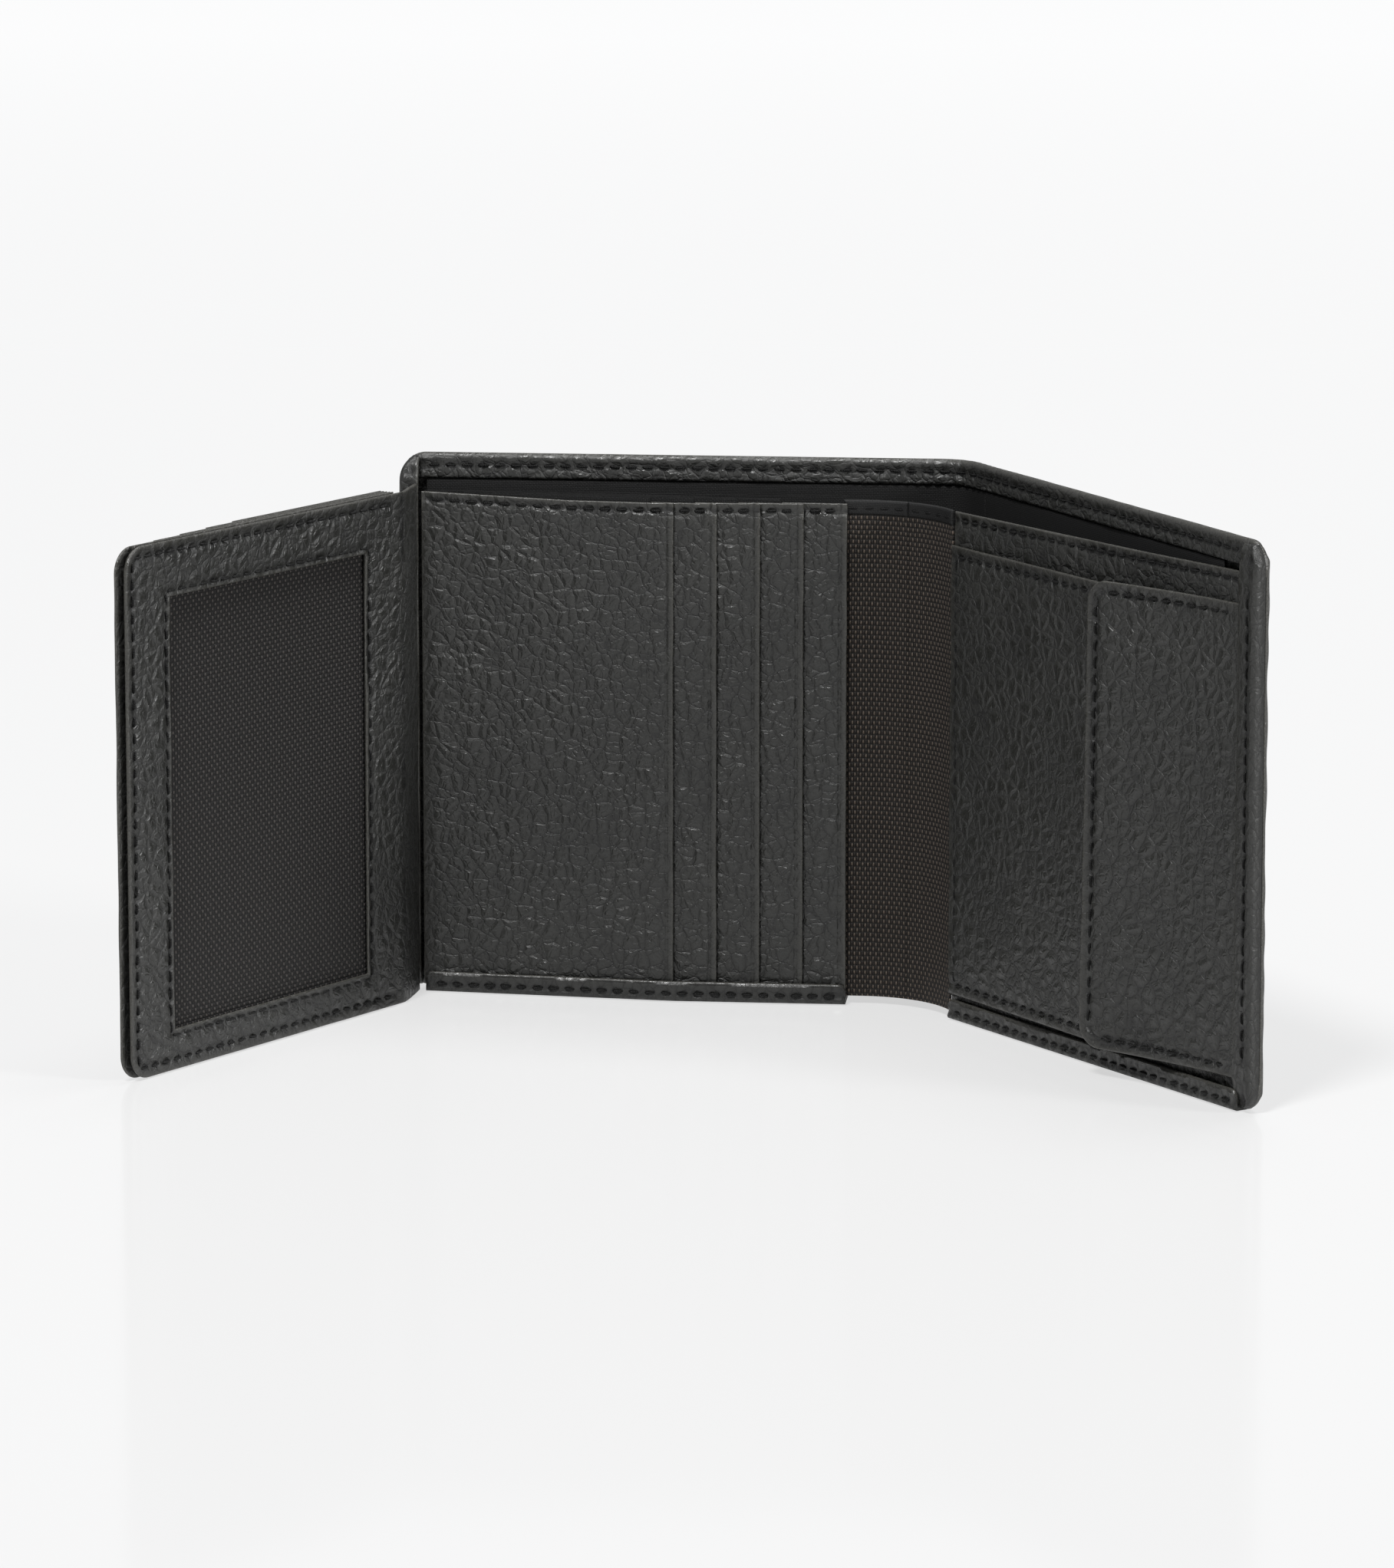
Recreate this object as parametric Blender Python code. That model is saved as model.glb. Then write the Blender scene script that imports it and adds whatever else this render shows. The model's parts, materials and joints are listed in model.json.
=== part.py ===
"""Trifold leather wallet, standing half open on its lower edges.

Metres, +Z up, X along the card panel, Y from the open side to the back.  Lengths below are in
millimetres and angles in degrees.  Each leather layer is its own solid, placed in the frame of
the body that it moves with.  Every fold line is upright, and its empty stands on it.
"""
import math

import bmesh
import bpy
from mathutils import Matrix, Vector

MM = 0.001

# Plan of the resting pose, measured from the middle of the card panel's pocket edges
BOX_CENTRE = (17.387, -35.377)  # middle of the whole wallet's box, which becomes the origin
COVER_LEFT_X = -42.7            # left seam of the outer cover
COVER_INNER_Y = 8.6             # inner plane of the back cover's turned edge
FOLD_X = 59.2                   # where the inner planes of the two covers would meet
FOLD_ANGLE = 57.9               # turn of the front cover at rest
FOLD_RADIUS = 7.0               # bend of the spine's inner plane at rest
SPINE_ARM = 18.0                # from the corner of the fold to each crease of the spine
FRONT_LENGTH = 86.8             # front cover, from its crease to the right seam

# Heights
COVER_HEIGHT = 98.8
INNER_TOP = 92.3                # top of the card panel and of the coin panel
FLAP_HEIGHT = 93.8
HEM_HEIGHT = 3.7                # turned edge along the bottom
PANEL_BOTTOM = 1.2              # inner panels, just above the floor of the turned edge
TOP_HEM = 4.5                   # turned edge along the top

# Leather, linings and the space kept between neighbours
COVER_THICK = 1.2
HEM_THICK = 0.9                 # turned edge, inside the cover
LINING_THICK = 0.3
LEATHER = 0.7
POCKET_THICK = 0.45
GAP = 0.3
CREASE_GAP = 0.35               # from a crease to the leather on each side of it
CORNER = 4.5                    # radius of the cover's corners
ARC_STEPS = 6

# Card panel: five pockets fanned like shingles
POCKETS = 5
POCKET_PITCH = 7.85
FIRST_EDGE = 7.6                # X of the front pocket's edge
POCKET_WIDTH = 46.5
POCKET_SHIFT = 0.8              # step in depth from a pocket to the next
STRIP_WIDTH = 12.0              # leather face of a pocket behind the first, before its sleeve
CARRIER_Y = 5.7
CARRIER_THICK = 0.4
HEM_FRONT_Y = -1.1
LEFT_HEM_Y = 4.7
LEFT_HEM_END = -39.2

# Identity flap, in its own frame: X from its crease, Y towards its window side
FLAP_CREASE = (-40.5, -6.0)
FLAP_ANGLE = 240.0
FLAP_LENGTH = 79.5
FLAP_START = 0.8
FLAP_SET_IN = 1.0               # the window side stops short of the back by this much
FLAP_LAYER = 0.4
WINDOW = (11.2, 66.5, 7.3, 83.9)  # from, to along the flap, bottom, top
MESH_MARGIN = 4.0
FLAP_POCKETS = 4
FLAP_FIRST_EDGE = 43.5
FLAP_POCKET_PITCH = 8.1

# Coin panel, in its own frame: X along the panel, Y towards the front cover
COIN_CORNER = (58.8, -9.4)
COIN_TURN = 6.15               # from the front cover's line to the coin panel's
COIN_LENGTH = 88.0
COIN_SEAM_START = 0.4           # bottom turned edge, along the coin panel
COIN_SEAM_STOP = 85.2
COIN_FRONT_BOTTOM = 4.9
COIN_FRONT_TOP = 86.5
COIN_MOUTH = 55.5               # where the pocket's front ends, under its flap
COIN_DEPTH = 5.8                # inside depth at the mouth
COIN_SEAM_DEPTH = 0.4
GUSSET_INSET = 0.6
RIGHT_HEM = 4.0
RIGHT_HEM_DEPTH = 2.0

# Coin flap, hinged along the right turned edge
COIN_HINGE = (85.4, -2.4)
COIN_FLAP_TILT = 8.3
COIN_FLAP_LENGTH = 36.4
COIN_FLAP_BOTTOM = 5.9
COIN_FLAP_TOP = 87.6
FLAP_LINING_DEPTH = 0.2         # from the hinge's plane to the flap's lining
SNAP_HEIGHT = 46.0
SNAP_FROM_EDGE = 3.0
SNAP_RADIUS = 2.6
STUD_RADIUS = 2.0
STUD_THICK = 0.3
STUD_CLEAR = 0.15
SNAP_STEPS = 24

LEATHER_COLOUR = (0.030, 0.031, 0.029, 1.0)
SLEEVE_COLOUR = (0.016, 0.016, 0.016, 1.0)
FABRIC_COLOUR = (0.022, 0.018, 0.015, 1.0)
MESH_COLOUR = (0.012, 0.012, 0.013, 1.0)
METAL_COLOUR = (0.35, 0.34, 0.33, 1.0)


def clear_scene():
    for item in list(bpy.data.objects):
        bpy.data.objects.remove(item, do_unlink=True)
    for group in list(bpy.data.collections):
        bpy.data.collections.remove(group)


def collection(name):
    group = bpy.data.collections.new(name)
    bpy.context.scene.collection.children.link(group)
    return group


def material(name, colour, roughness, metallic=0.0):
    finish = bpy.data.materials.new(name)
    finish.use_nodes = True
    shader = finish.node_tree.nodes["Principled BSDF"]
    shader.inputs["Base Color"].default_value = colour
    shader.inputs["Roughness"].default_value = roughness
    shader.inputs["Metallic"].default_value = metallic
    finish.diffuse_color = colour
    finish.roughness = roughness
    finish.metallic = metallic
    return finish


def frame_at(name, place, turn, parent=None):
    """An empty on an upright line; place is in the parent's plan, in millimetres."""
    empty = bpy.data.objects.new(name, None)
    empty.empty_display_size = 0.01
    empty.location = (place[0] * MM, place[1] * MM, 0.0)
    empty.rotation_euler = (0.0, 0.0, math.radians(turn))
    empty.parent = parent
    parts.objects.link(empty)
    return empty


def arc(centre, radius, start, stop, steps=ARC_STEPS):
    """Points on an arc, from one angle to the other."""
    points = []
    for step in range(steps + 1):
        angle = math.radians(start + (stop - start) * step / steps)
        points.append((centre[0] + radius * math.cos(angle), centre[1] + radius * math.sin(angle)))
    return points


def rounded(x0, x1, z0, z1, corners):
    """A rectangle whose corners, from the lower left anticlockwise, have the given radii."""
    spots = ((x0, z0, 1, 1, 180), (x1, z0, -1, 1, 270), (x1, z1, -1, -1, 0), (x0, z1, 1, -1, 90))
    points = []
    for (x, z, inward_x, inward_z, start), radius in zip(spots, corners):
        if radius:
            points += arc((x + inward_x * radius, z + inward_z * radius), radius, start, start + 90)
        else:
            points.append((x, z))
    return points


def outline_mesh(name, outline, depth, upright):
    """A solid from a flat outline, centred on it; upright outlines are in X and Z."""
    curve = bpy.data.curves.new(name, "CURVE")
    curve.dimensions = "2D"
    curve.fill_mode = "BOTH"
    curve.extrude = depth * MM / 2
    curve.render_resolution_u = 0
    spline = curve.splines.new("POLY")
    spline.points.add(len(outline) - 1)
    for point, (u, v) in zip(spline.points, outline):
        point.co = (u * MM, v * MM, 0.0, 1.0)
    spline.use_cyclic_u = True
    item = bpy.data.objects.new(name + "_outline", curve)
    parts.objects.link(item)
    evaluated = item.evaluated_get(bpy.context.evaluated_depsgraph_get())
    mesh = bpy.data.meshes.new_from_object(evaluated)
    mesh.name = name
    bpy.data.objects.remove(item, do_unlink=True)
    bpy.data.curves.remove(curve)
    if upright:
        mesh.transform(Matrix.Rotation(math.radians(90.0), 4, "X"))
    shape = bmesh.new()
    shape.from_mesh(mesh)
    bmesh.ops.remove_doubles(shape, verts=shape.verts, dist=1e-6)
    bmesh.ops.recalc_face_normals(shape, faces=shape.faces)
    shape.to_mesh(mesh)
    shape.free()
    return mesh


def put(name, mesh, finish, parent, location, turn=0.0):
    """Places a mesh in its body's frame as a named piece; location is in millimetres."""
    item = bpy.data.objects.new(name, mesh)
    item.location = Vector(location) * MM
    item.rotation_euler = (0.0, 0.0, math.radians(turn))
    item.parent = parent
    mesh.materials.clear()
    mesh.materials.append(finish)
    parts.objects.link(item)
    return item


def plate(name, outline, y0, y1, finish, parent, place=(0.0, 0.0), turn=0.0):
    """An upright sheet between two depths of its own frame."""
    mesh = outline_mesh(name, outline, abs(y1 - y0), True)
    middle = (y0 + y1) / 2
    mesh.transform(Matrix.Translation((0.0, middle * MM, 0.0)))
    return put(name, mesh, finish, parent, (place[0], place[1], 0.0), turn)


def prism(name, plan, z0, z1, finish, parent):
    """A solid that keeps one plan from one height to another."""
    mesh = outline_mesh(name, plan, z1 - z0, False)
    return put(name, mesh, finish, parent, (0.0, 0.0, (z0 + z1) / 2))


def boolean(target, tool, operation):
    """Cuts or joins a piece with a helper, which is kept out of sight with the cutters."""
    parts.objects.unlink(tool)
    cutters.objects.link(tool)
    tool.hide_render = True
    tool.display_type = "WIRE"
    change = target.modifiers.new(tool.name, "BOOLEAN")
    change.operation = operation
    change.object = tool
    change.solver = "EXACT"


def rectangle(x0, x1, z0, z1):
    return rounded(x0, x1, z0, z1, (0, 0, 0, 0))


def back_cover():
    """Leather of the back cover, with its edge turned in on all its free sides."""
    right = FOLD_X - SPINE_ARM - CREASE_GAP
    outer = COVER_INNER_Y + HEM_THICK
    skin = outer + COVER_THICK / 2
    outline = rounded(COVER_LEFT_X, right, 0, COVER_HEIGHT, (CORNER, 0, 0, CORNER))
    cover = plate("back_cover", outline, outer, outer + COVER_THICK, leather, wallet)
    left = COVER_LEFT_X + CORNER
    fan = HEM_FRONT_Y + math.tan(pocket_tilt()) * (FIRST_EDGE - left)
    front = [(left, fan), (FIRST_EDGE, HEM_FRONT_Y), (last_pocket_edge(), HEM_FRONT_Y)]
    floor_plan = front + [(last_pocket_edge(), skin), (left, skin)]
    lip_plan = front + [(x, y + HEM_THICK) for x, y in reversed(front)]
    top = rectangle(left, right, COVER_HEIGHT - TOP_HEM, COVER_HEIGHT)
    wall = rectangle(COVER_LEFT_X, COVER_LEFT_X + HEM_THICK, CORNER, COVER_HEIGHT - CORNER)
    side = rectangle(COVER_LEFT_X, LEFT_HEM_END, CORNER, COVER_HEIGHT - CORNER)
    edges = [prism("back_floor", floor_plan, 0, HEM_THICK, leather, wallet),
             prism("back_bottom_hem", lip_plan, 0, HEM_HEIGHT, leather, wallet),
             plate("back_top_hem", top, COVER_INNER_Y, skin, leather, wallet),
             plate("back_left_wall", wall, LEFT_HEM_Y, skin, leather, wallet),
             plate("back_left_hem", side, LEFT_HEM_Y, LEFT_HEM_Y + HEM_THICK, leather, wallet)]
    for edge in edges:
        boolean(cover, edge, "UNION")


def back_lining():
    left = COVER_LEFT_X + CORNER
    right = FOLD_X - SPINE_ARM - CREASE_GAP
    outline = rectangle(left, right, PANEL_BOTTOM, COVER_HEIGHT - TOP_HEM - GAP)
    inner = COVER_INNER_Y + GAP
    plate("back_cover_lining", outline, inner, inner + LINING_THICK, sleeve, wallet)


def last_pocket_edge():
    return FIRST_EDGE + (POCKETS - 1) * POCKET_PITCH


def pocket_tilt():
    return math.asin(POCKET_SHIFT / POCKET_PITCH)


def card_pockets():
    """Five leather faces; those behind the first go on as textile sleeves."""
    turn = -math.degrees(pocket_tilt())
    for number in range(1, POCKETS + 1):
        edge = FIRST_EDGE + (number - 1) * POCKET_PITCH
        place = (edge, 0.0)
        face_width = POCKET_WIDTH if number == 1 else STRIP_WIDTH
        face = rectangle(-face_width, 0, PANEL_BOTTOM, INNER_TOP)
        plate(f"card_pocket_{number}", face, 0, POCKET_THICK, leather, wallet, place, turn)
        if number > 1:
            back = rectangle(-POCKET_WIDTH, -STRIP_WIDTH - GAP, PANEL_BOTTOM, INNER_TOP)
            plate(f"card_sleeve_{number}", back, 0.1, POCKET_THICK - 0.1, sleeve, wallet, place, turn)


def card_carrier():
    """Textile panel that all the pockets are sewn to, facing the note compartment."""
    right = last_pocket_edge() - GAP
    outline = rectangle(COVER_LEFT_X + CORNER, right, PANEL_BOTTOM, INNER_TOP)
    plate("card_carrier", outline, CARRIER_Y, CARRIER_Y + CARRIER_THICK, sleeve, wallet)


def flap_hinge_strip():
    """Leather that leads from the left seam forward to the identity flap's crease."""
    x, y = FLAP_CREASE
    plan = [(x - 0.6, y + GAP), (x + 0.3, y + GAP), (x + 1.1, 4.2), (x + 0.2, 4.2)]
    prism("flap_hinge_strip", plan, 0, FLAP_HEIGHT, leather, wallet)


def spine_path(offset):
    """Plan of the spine at a distance outside its inner plane, from crease to crease."""
    half = math.radians(FOLD_ANGLE) / 2
    tangent = FOLD_RADIUS * math.tan(half)
    centre = (FOLD_X - tangent, COVER_INNER_Y - FOLD_RADIUS)
    bend = arc(centre, FOLD_RADIUS + offset, 90, 90 - FOLD_ANGLE)
    along = Vector((math.cos(2 * half), -math.sin(2 * half)))
    outward = Vector((math.sin(2 * half), math.cos(2 * half)))
    corner = Vector((FOLD_X, COVER_INNER_Y))
    stop = corner + along * (SPINE_ARM - CREASE_GAP) + outward * offset
    start = (FOLD_X - SPINE_ARM + CREASE_GAP, COVER_INNER_Y + offset)
    return [start] + bend + [tuple(stop)]


def spine_band(offset0, offset1):
    """Closed plan of a layer of the spine, in the frame of the spine's body."""
    plan = spine_path(offset0) + spine_path(offset1)[::-1]
    x, y = spine_crease()
    return [(u - x, v - y) for u, v in plan]


def spine_crease():
    return FOLD_X - SPINE_ARM, COVER_INNER_Y


def spine_cover(body):
    """Leather of the spine, with its own turned edges above and below."""
    depth = HEM_THICK + COVER_THICK
    middle = HEM_THICK + COVER_THICK / 2
    cover = prism("spine_cover", spine_band(HEM_THICK, depth), 0, COVER_HEIGHT, leather, body)
    low = prism("spine_bottom_hem", spine_band(0, middle), 0, HEM_HEIGHT, leather, body)
    high = prism("spine_top_hem", spine_band(0, middle), COVER_HEIGHT - TOP_HEM, COVER_HEIGHT,
                 leather, body)
    boolean(cover, low, "UNION")
    boolean(cover, high, "UNION")


def spine_lining(body):
    plan = spine_band(GAP, GAP + LINING_THICK)
    top = COVER_HEIGHT - TOP_HEM - GAP
    prism("spine_lining", plan, HEM_HEIGHT + GAP, top, sleeve, body)


def fold_fabric():
    """Woven strip across the fold, from under the last pocket to the coin panel."""
    start = (38.3, 1.2)
    straight_to = 42.0
    stop = (COIN_CORNER[0] - 0.5, COIN_CORNER[1] + 0.4)
    thick = 0.5
    across = stop[0] - straight_to
    turn = 2 * math.degrees(math.atan2(start[1] - stop[1], across))
    radius = across / math.sin(math.radians(turn))
    centre = (straight_to, start[1] - radius)
    front = [start] + arc(centre, radius, 90, 90 - turn)
    back = [(start[0], start[1] + thick)] + arc(centre, radius + thick, 90, 90 - turn)
    prism("fold_fabric", front + back[::-1], PANEL_BOTTOM, INNER_TOP, fabric, wallet)


def front_cover(body):
    """Leather of the front cover, with its edge turned in on all its free sides."""
    skin = HEM_THICK + COVER_THICK / 2
    outline = rounded(CREASE_GAP, FRONT_LENGTH, 0, COVER_HEIGHT, (0, CORNER, CORNER, 0))
    cover = plate("front_cover", outline, HEM_THICK, HEM_THICK + COVER_THICK, leather, body)
    right = FRONT_LENGTH - CORNER
    near, far = COIN_SEAM_START, COIN_SEAM_STOP
    front = [coin_point(near, HEM_FRONT_Y), coin_point(far, HEM_FRONT_Y)]
    behind = [coin_point(far, HEM_FRONT_Y + HEM_THICK), coin_point(near, HEM_FRONT_Y + HEM_THICK)]
    floor_plan = front + [(right, skin), (CREASE_GAP, skin)]
    top = rectangle(CREASE_GAP, right, COVER_HEIGHT - TOP_HEM, COVER_HEIGHT)
    inner, outer = FRONT_LENGTH - RIGHT_HEM, FRONT_LENGTH
    wall = rectangle(outer - HEM_THICK, outer, CORNER, COVER_HEIGHT - CORNER)
    side = rounded(inner, outer, 0, COVER_HEIGHT - CORNER, (0, RIGHT_HEM - GAP, 0, 0))
    edges = [prism("front_floor", floor_plan, 0, HEM_THICK, leather, body),
             prism("front_bottom_hem", front + behind, 0, HEM_HEIGHT, leather, body),
             plate("front_top_hem", top, 0, skin, leather, body),
             plate("front_right_wall", wall, -RIGHT_HEM_DEPTH, skin, leather, body),
             plate("front_right_hem", side, -RIGHT_HEM_DEPTH, HEM_THICK - RIGHT_HEM_DEPTH, leather, body)]
    for edge in edges:
        boolean(cover, edge, "UNION")


def front_lining(body):
    outline = rectangle(CREASE_GAP, FRONT_LENGTH - RIGHT_HEM - GAP, PANEL_BOTTOM,
                        COVER_HEIGHT - TOP_HEM - GAP)
    plate("front_cover_lining", outline, GAP, GAP + LINING_THICK, sleeve, body)


def coin_origin():
    """The coin panel's corner, in the frame of the front cover."""
    turn = math.radians(FOLD_ANGLE)
    along = Vector((math.cos(turn), -math.sin(turn)))
    outward = Vector((math.sin(turn), math.cos(turn)))
    crease = Vector((FOLD_X, COVER_INNER_Y)) + along * SPINE_ARM
    step = Vector(COIN_CORNER) - crease
    return step.dot(along), step.dot(outward)


def coin_point(x, y):
    """A point of the coin panel's frame, in the frame of the front cover."""
    turn = math.radians(COIN_TURN)
    x0, y0 = coin_origin()
    return (x0 + x * math.cos(turn) - y * math.sin(turn), y0 + x * math.sin(turn) + y * math.cos(turn))


def coin_base(panel):
    outline = rectangle(0, COIN_LENGTH, PANEL_BOTTOM, INNER_TOP)
    plate("coin_base_panel", outline, 0, LEATHER, leather, panel)


def coin_front_slope():
    return math.atan2(COIN_DEPTH - COIN_SEAM_DEPTH, COIN_MOUTH)


def coin_front(panel):
    """Front of the coin pocket, sewn down at the fold and lifted at its mouth."""
    outline = rectangle(0.4, COIN_MOUTH, COIN_FRONT_BOTTOM, COIN_FRONT_TOP)
    plate("coin_pocket_front", outline, -LEATHER, 0, leather, panel, (0.0, -COIN_SEAM_DEPTH),
          -math.degrees(coin_front_slope()))


def coin_gussets(panel):
    """Two wedges of lining that let the pocket stand open."""
    slope = math.tan(coin_front_slope())
    near, far = 8.0, COIN_MOUTH - 1.0
    plan = [(near, -GAP), (near, -COIN_SEAM_DEPTH - slope * near + GAP),
            (far, -COIN_SEAM_DEPTH - slope * far + GAP), (far, -GAP)]
    thick = 0.5
    low = COIN_FRONT_BOTTOM + GUSSET_INSET
    high = COIN_FRONT_TOP - GUSSET_INSET
    prism("coin_gusset_bottom", plan, low, low + thick, sleeve, panel)
    prism("coin_gusset_top", plan, high - thick, high, sleeve, panel)


def coin_flap(body):
    """Leather flap and its lining, closed over the pocket's mouth."""
    end = -CREASE_GAP - GAP
    round_corner = 4.0
    outline = rounded(-COIN_FLAP_LENGTH, end, COIN_FLAP_BOTTOM, COIN_FLAP_TOP,
                      (round_corner, 0, 0, round_corner))
    inner = FLAP_LINING_DEPTH + LINING_THICK + GAP
    plate("coin_flap", outline, -inner - LEATHER, -inner, leather, body)
    margin = 1.5
    lining = rounded(-COIN_FLAP_LENGTH + margin, end - margin, COIN_FLAP_BOTTOM + margin,
                     COIN_FLAP_TOP - margin, (round_corner - 1, 0, 0, round_corner - 1))
    near = -FLAP_LINING_DEPTH
    piece = plate("coin_flap_lining", lining, near - LINING_THICK, near, sleeve, body)
    x = SNAP_FROM_EDGE - COIN_FLAP_LENGTH
    hole = disc("snap_socket_hole", SNAP_RADIUS + GAP, 2.0, x, near, body)
    boolean(piece, hole, "DIFFERENCE")


def disc(name, radius, thick, x, y, parent, turn=0.0):
    """A round upright disc, centred at a depth of its own frame."""
    bpy.ops.mesh.primitive_cylinder_add(vertices=SNAP_STEPS, radius=radius * MM, depth=thick * MM)
    item = bpy.context.object
    mesh = item.data
    bpy.data.objects.remove(item, do_unlink=True)
    mesh.transform(Matrix.Rotation(math.radians(90.0), 4, "X"))
    mesh.shade_smooth()
    mesh.set_sharp_from_angle(angle=math.radians(40.0))
    return put(name, mesh, metal, parent, (x, y, SNAP_HEIGHT), turn)


def snap(panel, flap):
    """Concealed press stud: socket in the flap's lining, stud and washer on the pocket."""
    x = SNAP_FROM_EDGE - COIN_FLAP_LENGTH
    disc("snap_socket", SNAP_RADIUS, LINING_THICK, x, -FLAP_LINING_DEPTH - LINING_THICK / 2, flap)
    tilt = math.radians(COIN_FLAP_TILT)
    slope = coin_front_slope()
    socket = Vector((COIN_HINGE[0] + x * math.cos(tilt), COIN_HINGE[1] + x * math.sin(tilt)))
    along = Vector((math.cos(slope), -math.sin(slope)))
    inward = Vector((math.sin(slope), math.cos(slope)))
    seam = Vector((0.0, -COIN_SEAM_DEPTH))
    foot = seam + along * (socket - seam).dot(along)
    turn = -math.degrees(slope)
    stud = foot - inward * (LEATHER + STUD_CLEAR + STUD_THICK / 2)
    washer = foot + inward * (STUD_CLEAR + STUD_THICK / 2)
    disc("snap_stud", STUD_RADIUS, STUD_THICK, stud.x, stud.y, panel, turn)
    disc("snap_washer", SNAP_RADIUS, STUD_THICK, washer.x, washer.y, panel, turn)


def flap_window_side(body):
    """Leather frame with the mesh window behind it."""
    left, right = FLAP_START, FLAP_LENGTH - FLAP_SET_IN
    outline = rounded(left, right, 0, FLAP_HEIGHT, (0, CORNER, CORNER, 0))
    frame = plate("flap_window_frame", outline, -LEATHER, 0, leather, body)
    x0, x1, z0, z1 = WINDOW
    hole = plate("flap_window_hole", rectangle(x0, x1, z0, z1), -2, 1, leather, body)
    boolean(frame, hole, "DIFFERENCE")
    depth = LEATHER + GAP
    net = rectangle(x0 - MESH_MARGIN, x1 + MESH_MARGIN, z0 - MESH_MARGIN, z1 + MESH_MARGIN)
    plate("flap_mesh_window", net, -depth - 0.2, -depth, window_mesh, body)


def flap_card_side(body):
    """Back panel of the flap and its four card pockets, one behind the other."""
    depth = LEATHER + GAP + 0.2 + GAP
    outline = rounded(FLAP_START, FLAP_LENGTH, 0, FLAP_HEIGHT, (0, CORNER, CORNER, 0))
    plate("flap_back_panel", outline, -depth - FLAP_LAYER, -depth, leather, body)
    for number in range(1, FLAP_POCKETS + 1):
        layer = FLAP_POCKETS - number + 1
        near = depth + layer * (FLAP_LAYER + GAP)
        edge = FLAP_FIRST_EDGE + (number - 1) * FLAP_POCKET_PITCH
        face = rectangle(FLAP_START, edge, 0.6, FLAP_HEIGHT - 0.6)
        plate(f"flap_pocket_{number}", face, -near - FLAP_LAYER, -near, leather, body)


clear_scene()
parts = collection("trifold_wallet")
cutters = collection("cutters")
leather = material("grained_leather", LEATHER_COLOUR, 0.55)
sleeve = material("lining_cloth", SLEEVE_COLOUR, 0.8)
fabric = material("woven_fabric", FABRIC_COLOUR, 0.9)
window_mesh = material("window_mesh", MESH_COLOUR, 0.6)
metal = material("snap_metal", METAL_COLOUR, 0.35, 1.0)

wallet = frame_at("wallet_origin", (-BOX_CENTRE[0], -BOX_CENTRE[1]), 0.0)
spine_axis = frame_at("spine_crease", spine_crease(), 0.0, wallet)
front_step = (SPINE_ARM * (1 + math.cos(math.radians(FOLD_ANGLE))),
              -SPINE_ARM * math.sin(math.radians(FOLD_ANGLE)))
front_axis = frame_at("front_crease", front_step, -FOLD_ANGLE, spine_axis)
coin_frame = frame_at("coin_panel_corner", coin_origin(), COIN_TURN, front_axis)
coin_axis = frame_at("coin_flap_hinge", COIN_HINGE, COIN_FLAP_TILT, coin_frame)
flap_axis = frame_at("identity_flap_crease", FLAP_CREASE, FLAP_ANGLE, wallet)

back_cover()
back_lining()
card_pockets()
card_carrier()
flap_hinge_strip()
fold_fabric()
spine_cover(spine_axis)
spine_lining(spine_axis)
front_cover(front_axis)
front_lining(front_axis)
coin_base(coin_frame)
coin_front(coin_frame)
coin_gussets(coin_frame)
coin_flap(coin_axis)
snap(coin_frame, coin_axis)
flap_window_side(flap_axis)
flap_card_side(flap_axis)
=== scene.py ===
"""Looks of the trifold wallet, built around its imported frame.

Lengths are in millimetres in plan: X along the card panel, Y towards the back, Z up, measured from
the middle of the card pockets' edges.  Each panel of leather or cloth is built in its own frame,
with u along the panel, v up and w through it, and is then set in the row frame in metres.
"""

import json
import math
import zlib

import bmesh
import bpy
import numpy as np
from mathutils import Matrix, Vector


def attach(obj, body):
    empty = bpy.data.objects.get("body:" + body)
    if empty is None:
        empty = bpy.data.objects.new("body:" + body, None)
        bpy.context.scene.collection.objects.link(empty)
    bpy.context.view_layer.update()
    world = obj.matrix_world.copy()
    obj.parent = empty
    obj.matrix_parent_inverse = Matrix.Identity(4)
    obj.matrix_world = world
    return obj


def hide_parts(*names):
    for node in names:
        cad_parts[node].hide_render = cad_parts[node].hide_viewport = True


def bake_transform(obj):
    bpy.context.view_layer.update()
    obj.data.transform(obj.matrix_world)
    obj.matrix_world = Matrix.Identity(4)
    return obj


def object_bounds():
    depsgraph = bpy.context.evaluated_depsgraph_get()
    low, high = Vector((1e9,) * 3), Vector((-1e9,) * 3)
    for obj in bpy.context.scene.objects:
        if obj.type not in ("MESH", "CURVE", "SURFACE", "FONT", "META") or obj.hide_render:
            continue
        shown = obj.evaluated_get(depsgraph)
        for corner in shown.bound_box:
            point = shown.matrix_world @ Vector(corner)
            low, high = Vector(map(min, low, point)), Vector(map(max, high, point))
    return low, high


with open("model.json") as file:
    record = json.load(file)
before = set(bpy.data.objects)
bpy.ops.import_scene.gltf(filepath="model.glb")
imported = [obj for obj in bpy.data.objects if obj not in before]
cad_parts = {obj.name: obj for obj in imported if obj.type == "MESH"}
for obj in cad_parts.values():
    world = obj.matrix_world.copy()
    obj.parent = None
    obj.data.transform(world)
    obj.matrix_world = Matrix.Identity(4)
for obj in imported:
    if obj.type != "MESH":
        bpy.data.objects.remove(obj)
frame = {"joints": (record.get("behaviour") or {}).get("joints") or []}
cad_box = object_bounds()
joints = {joint["name"]: joint for joint in frame["joints"]}

MM = 0.001

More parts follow.
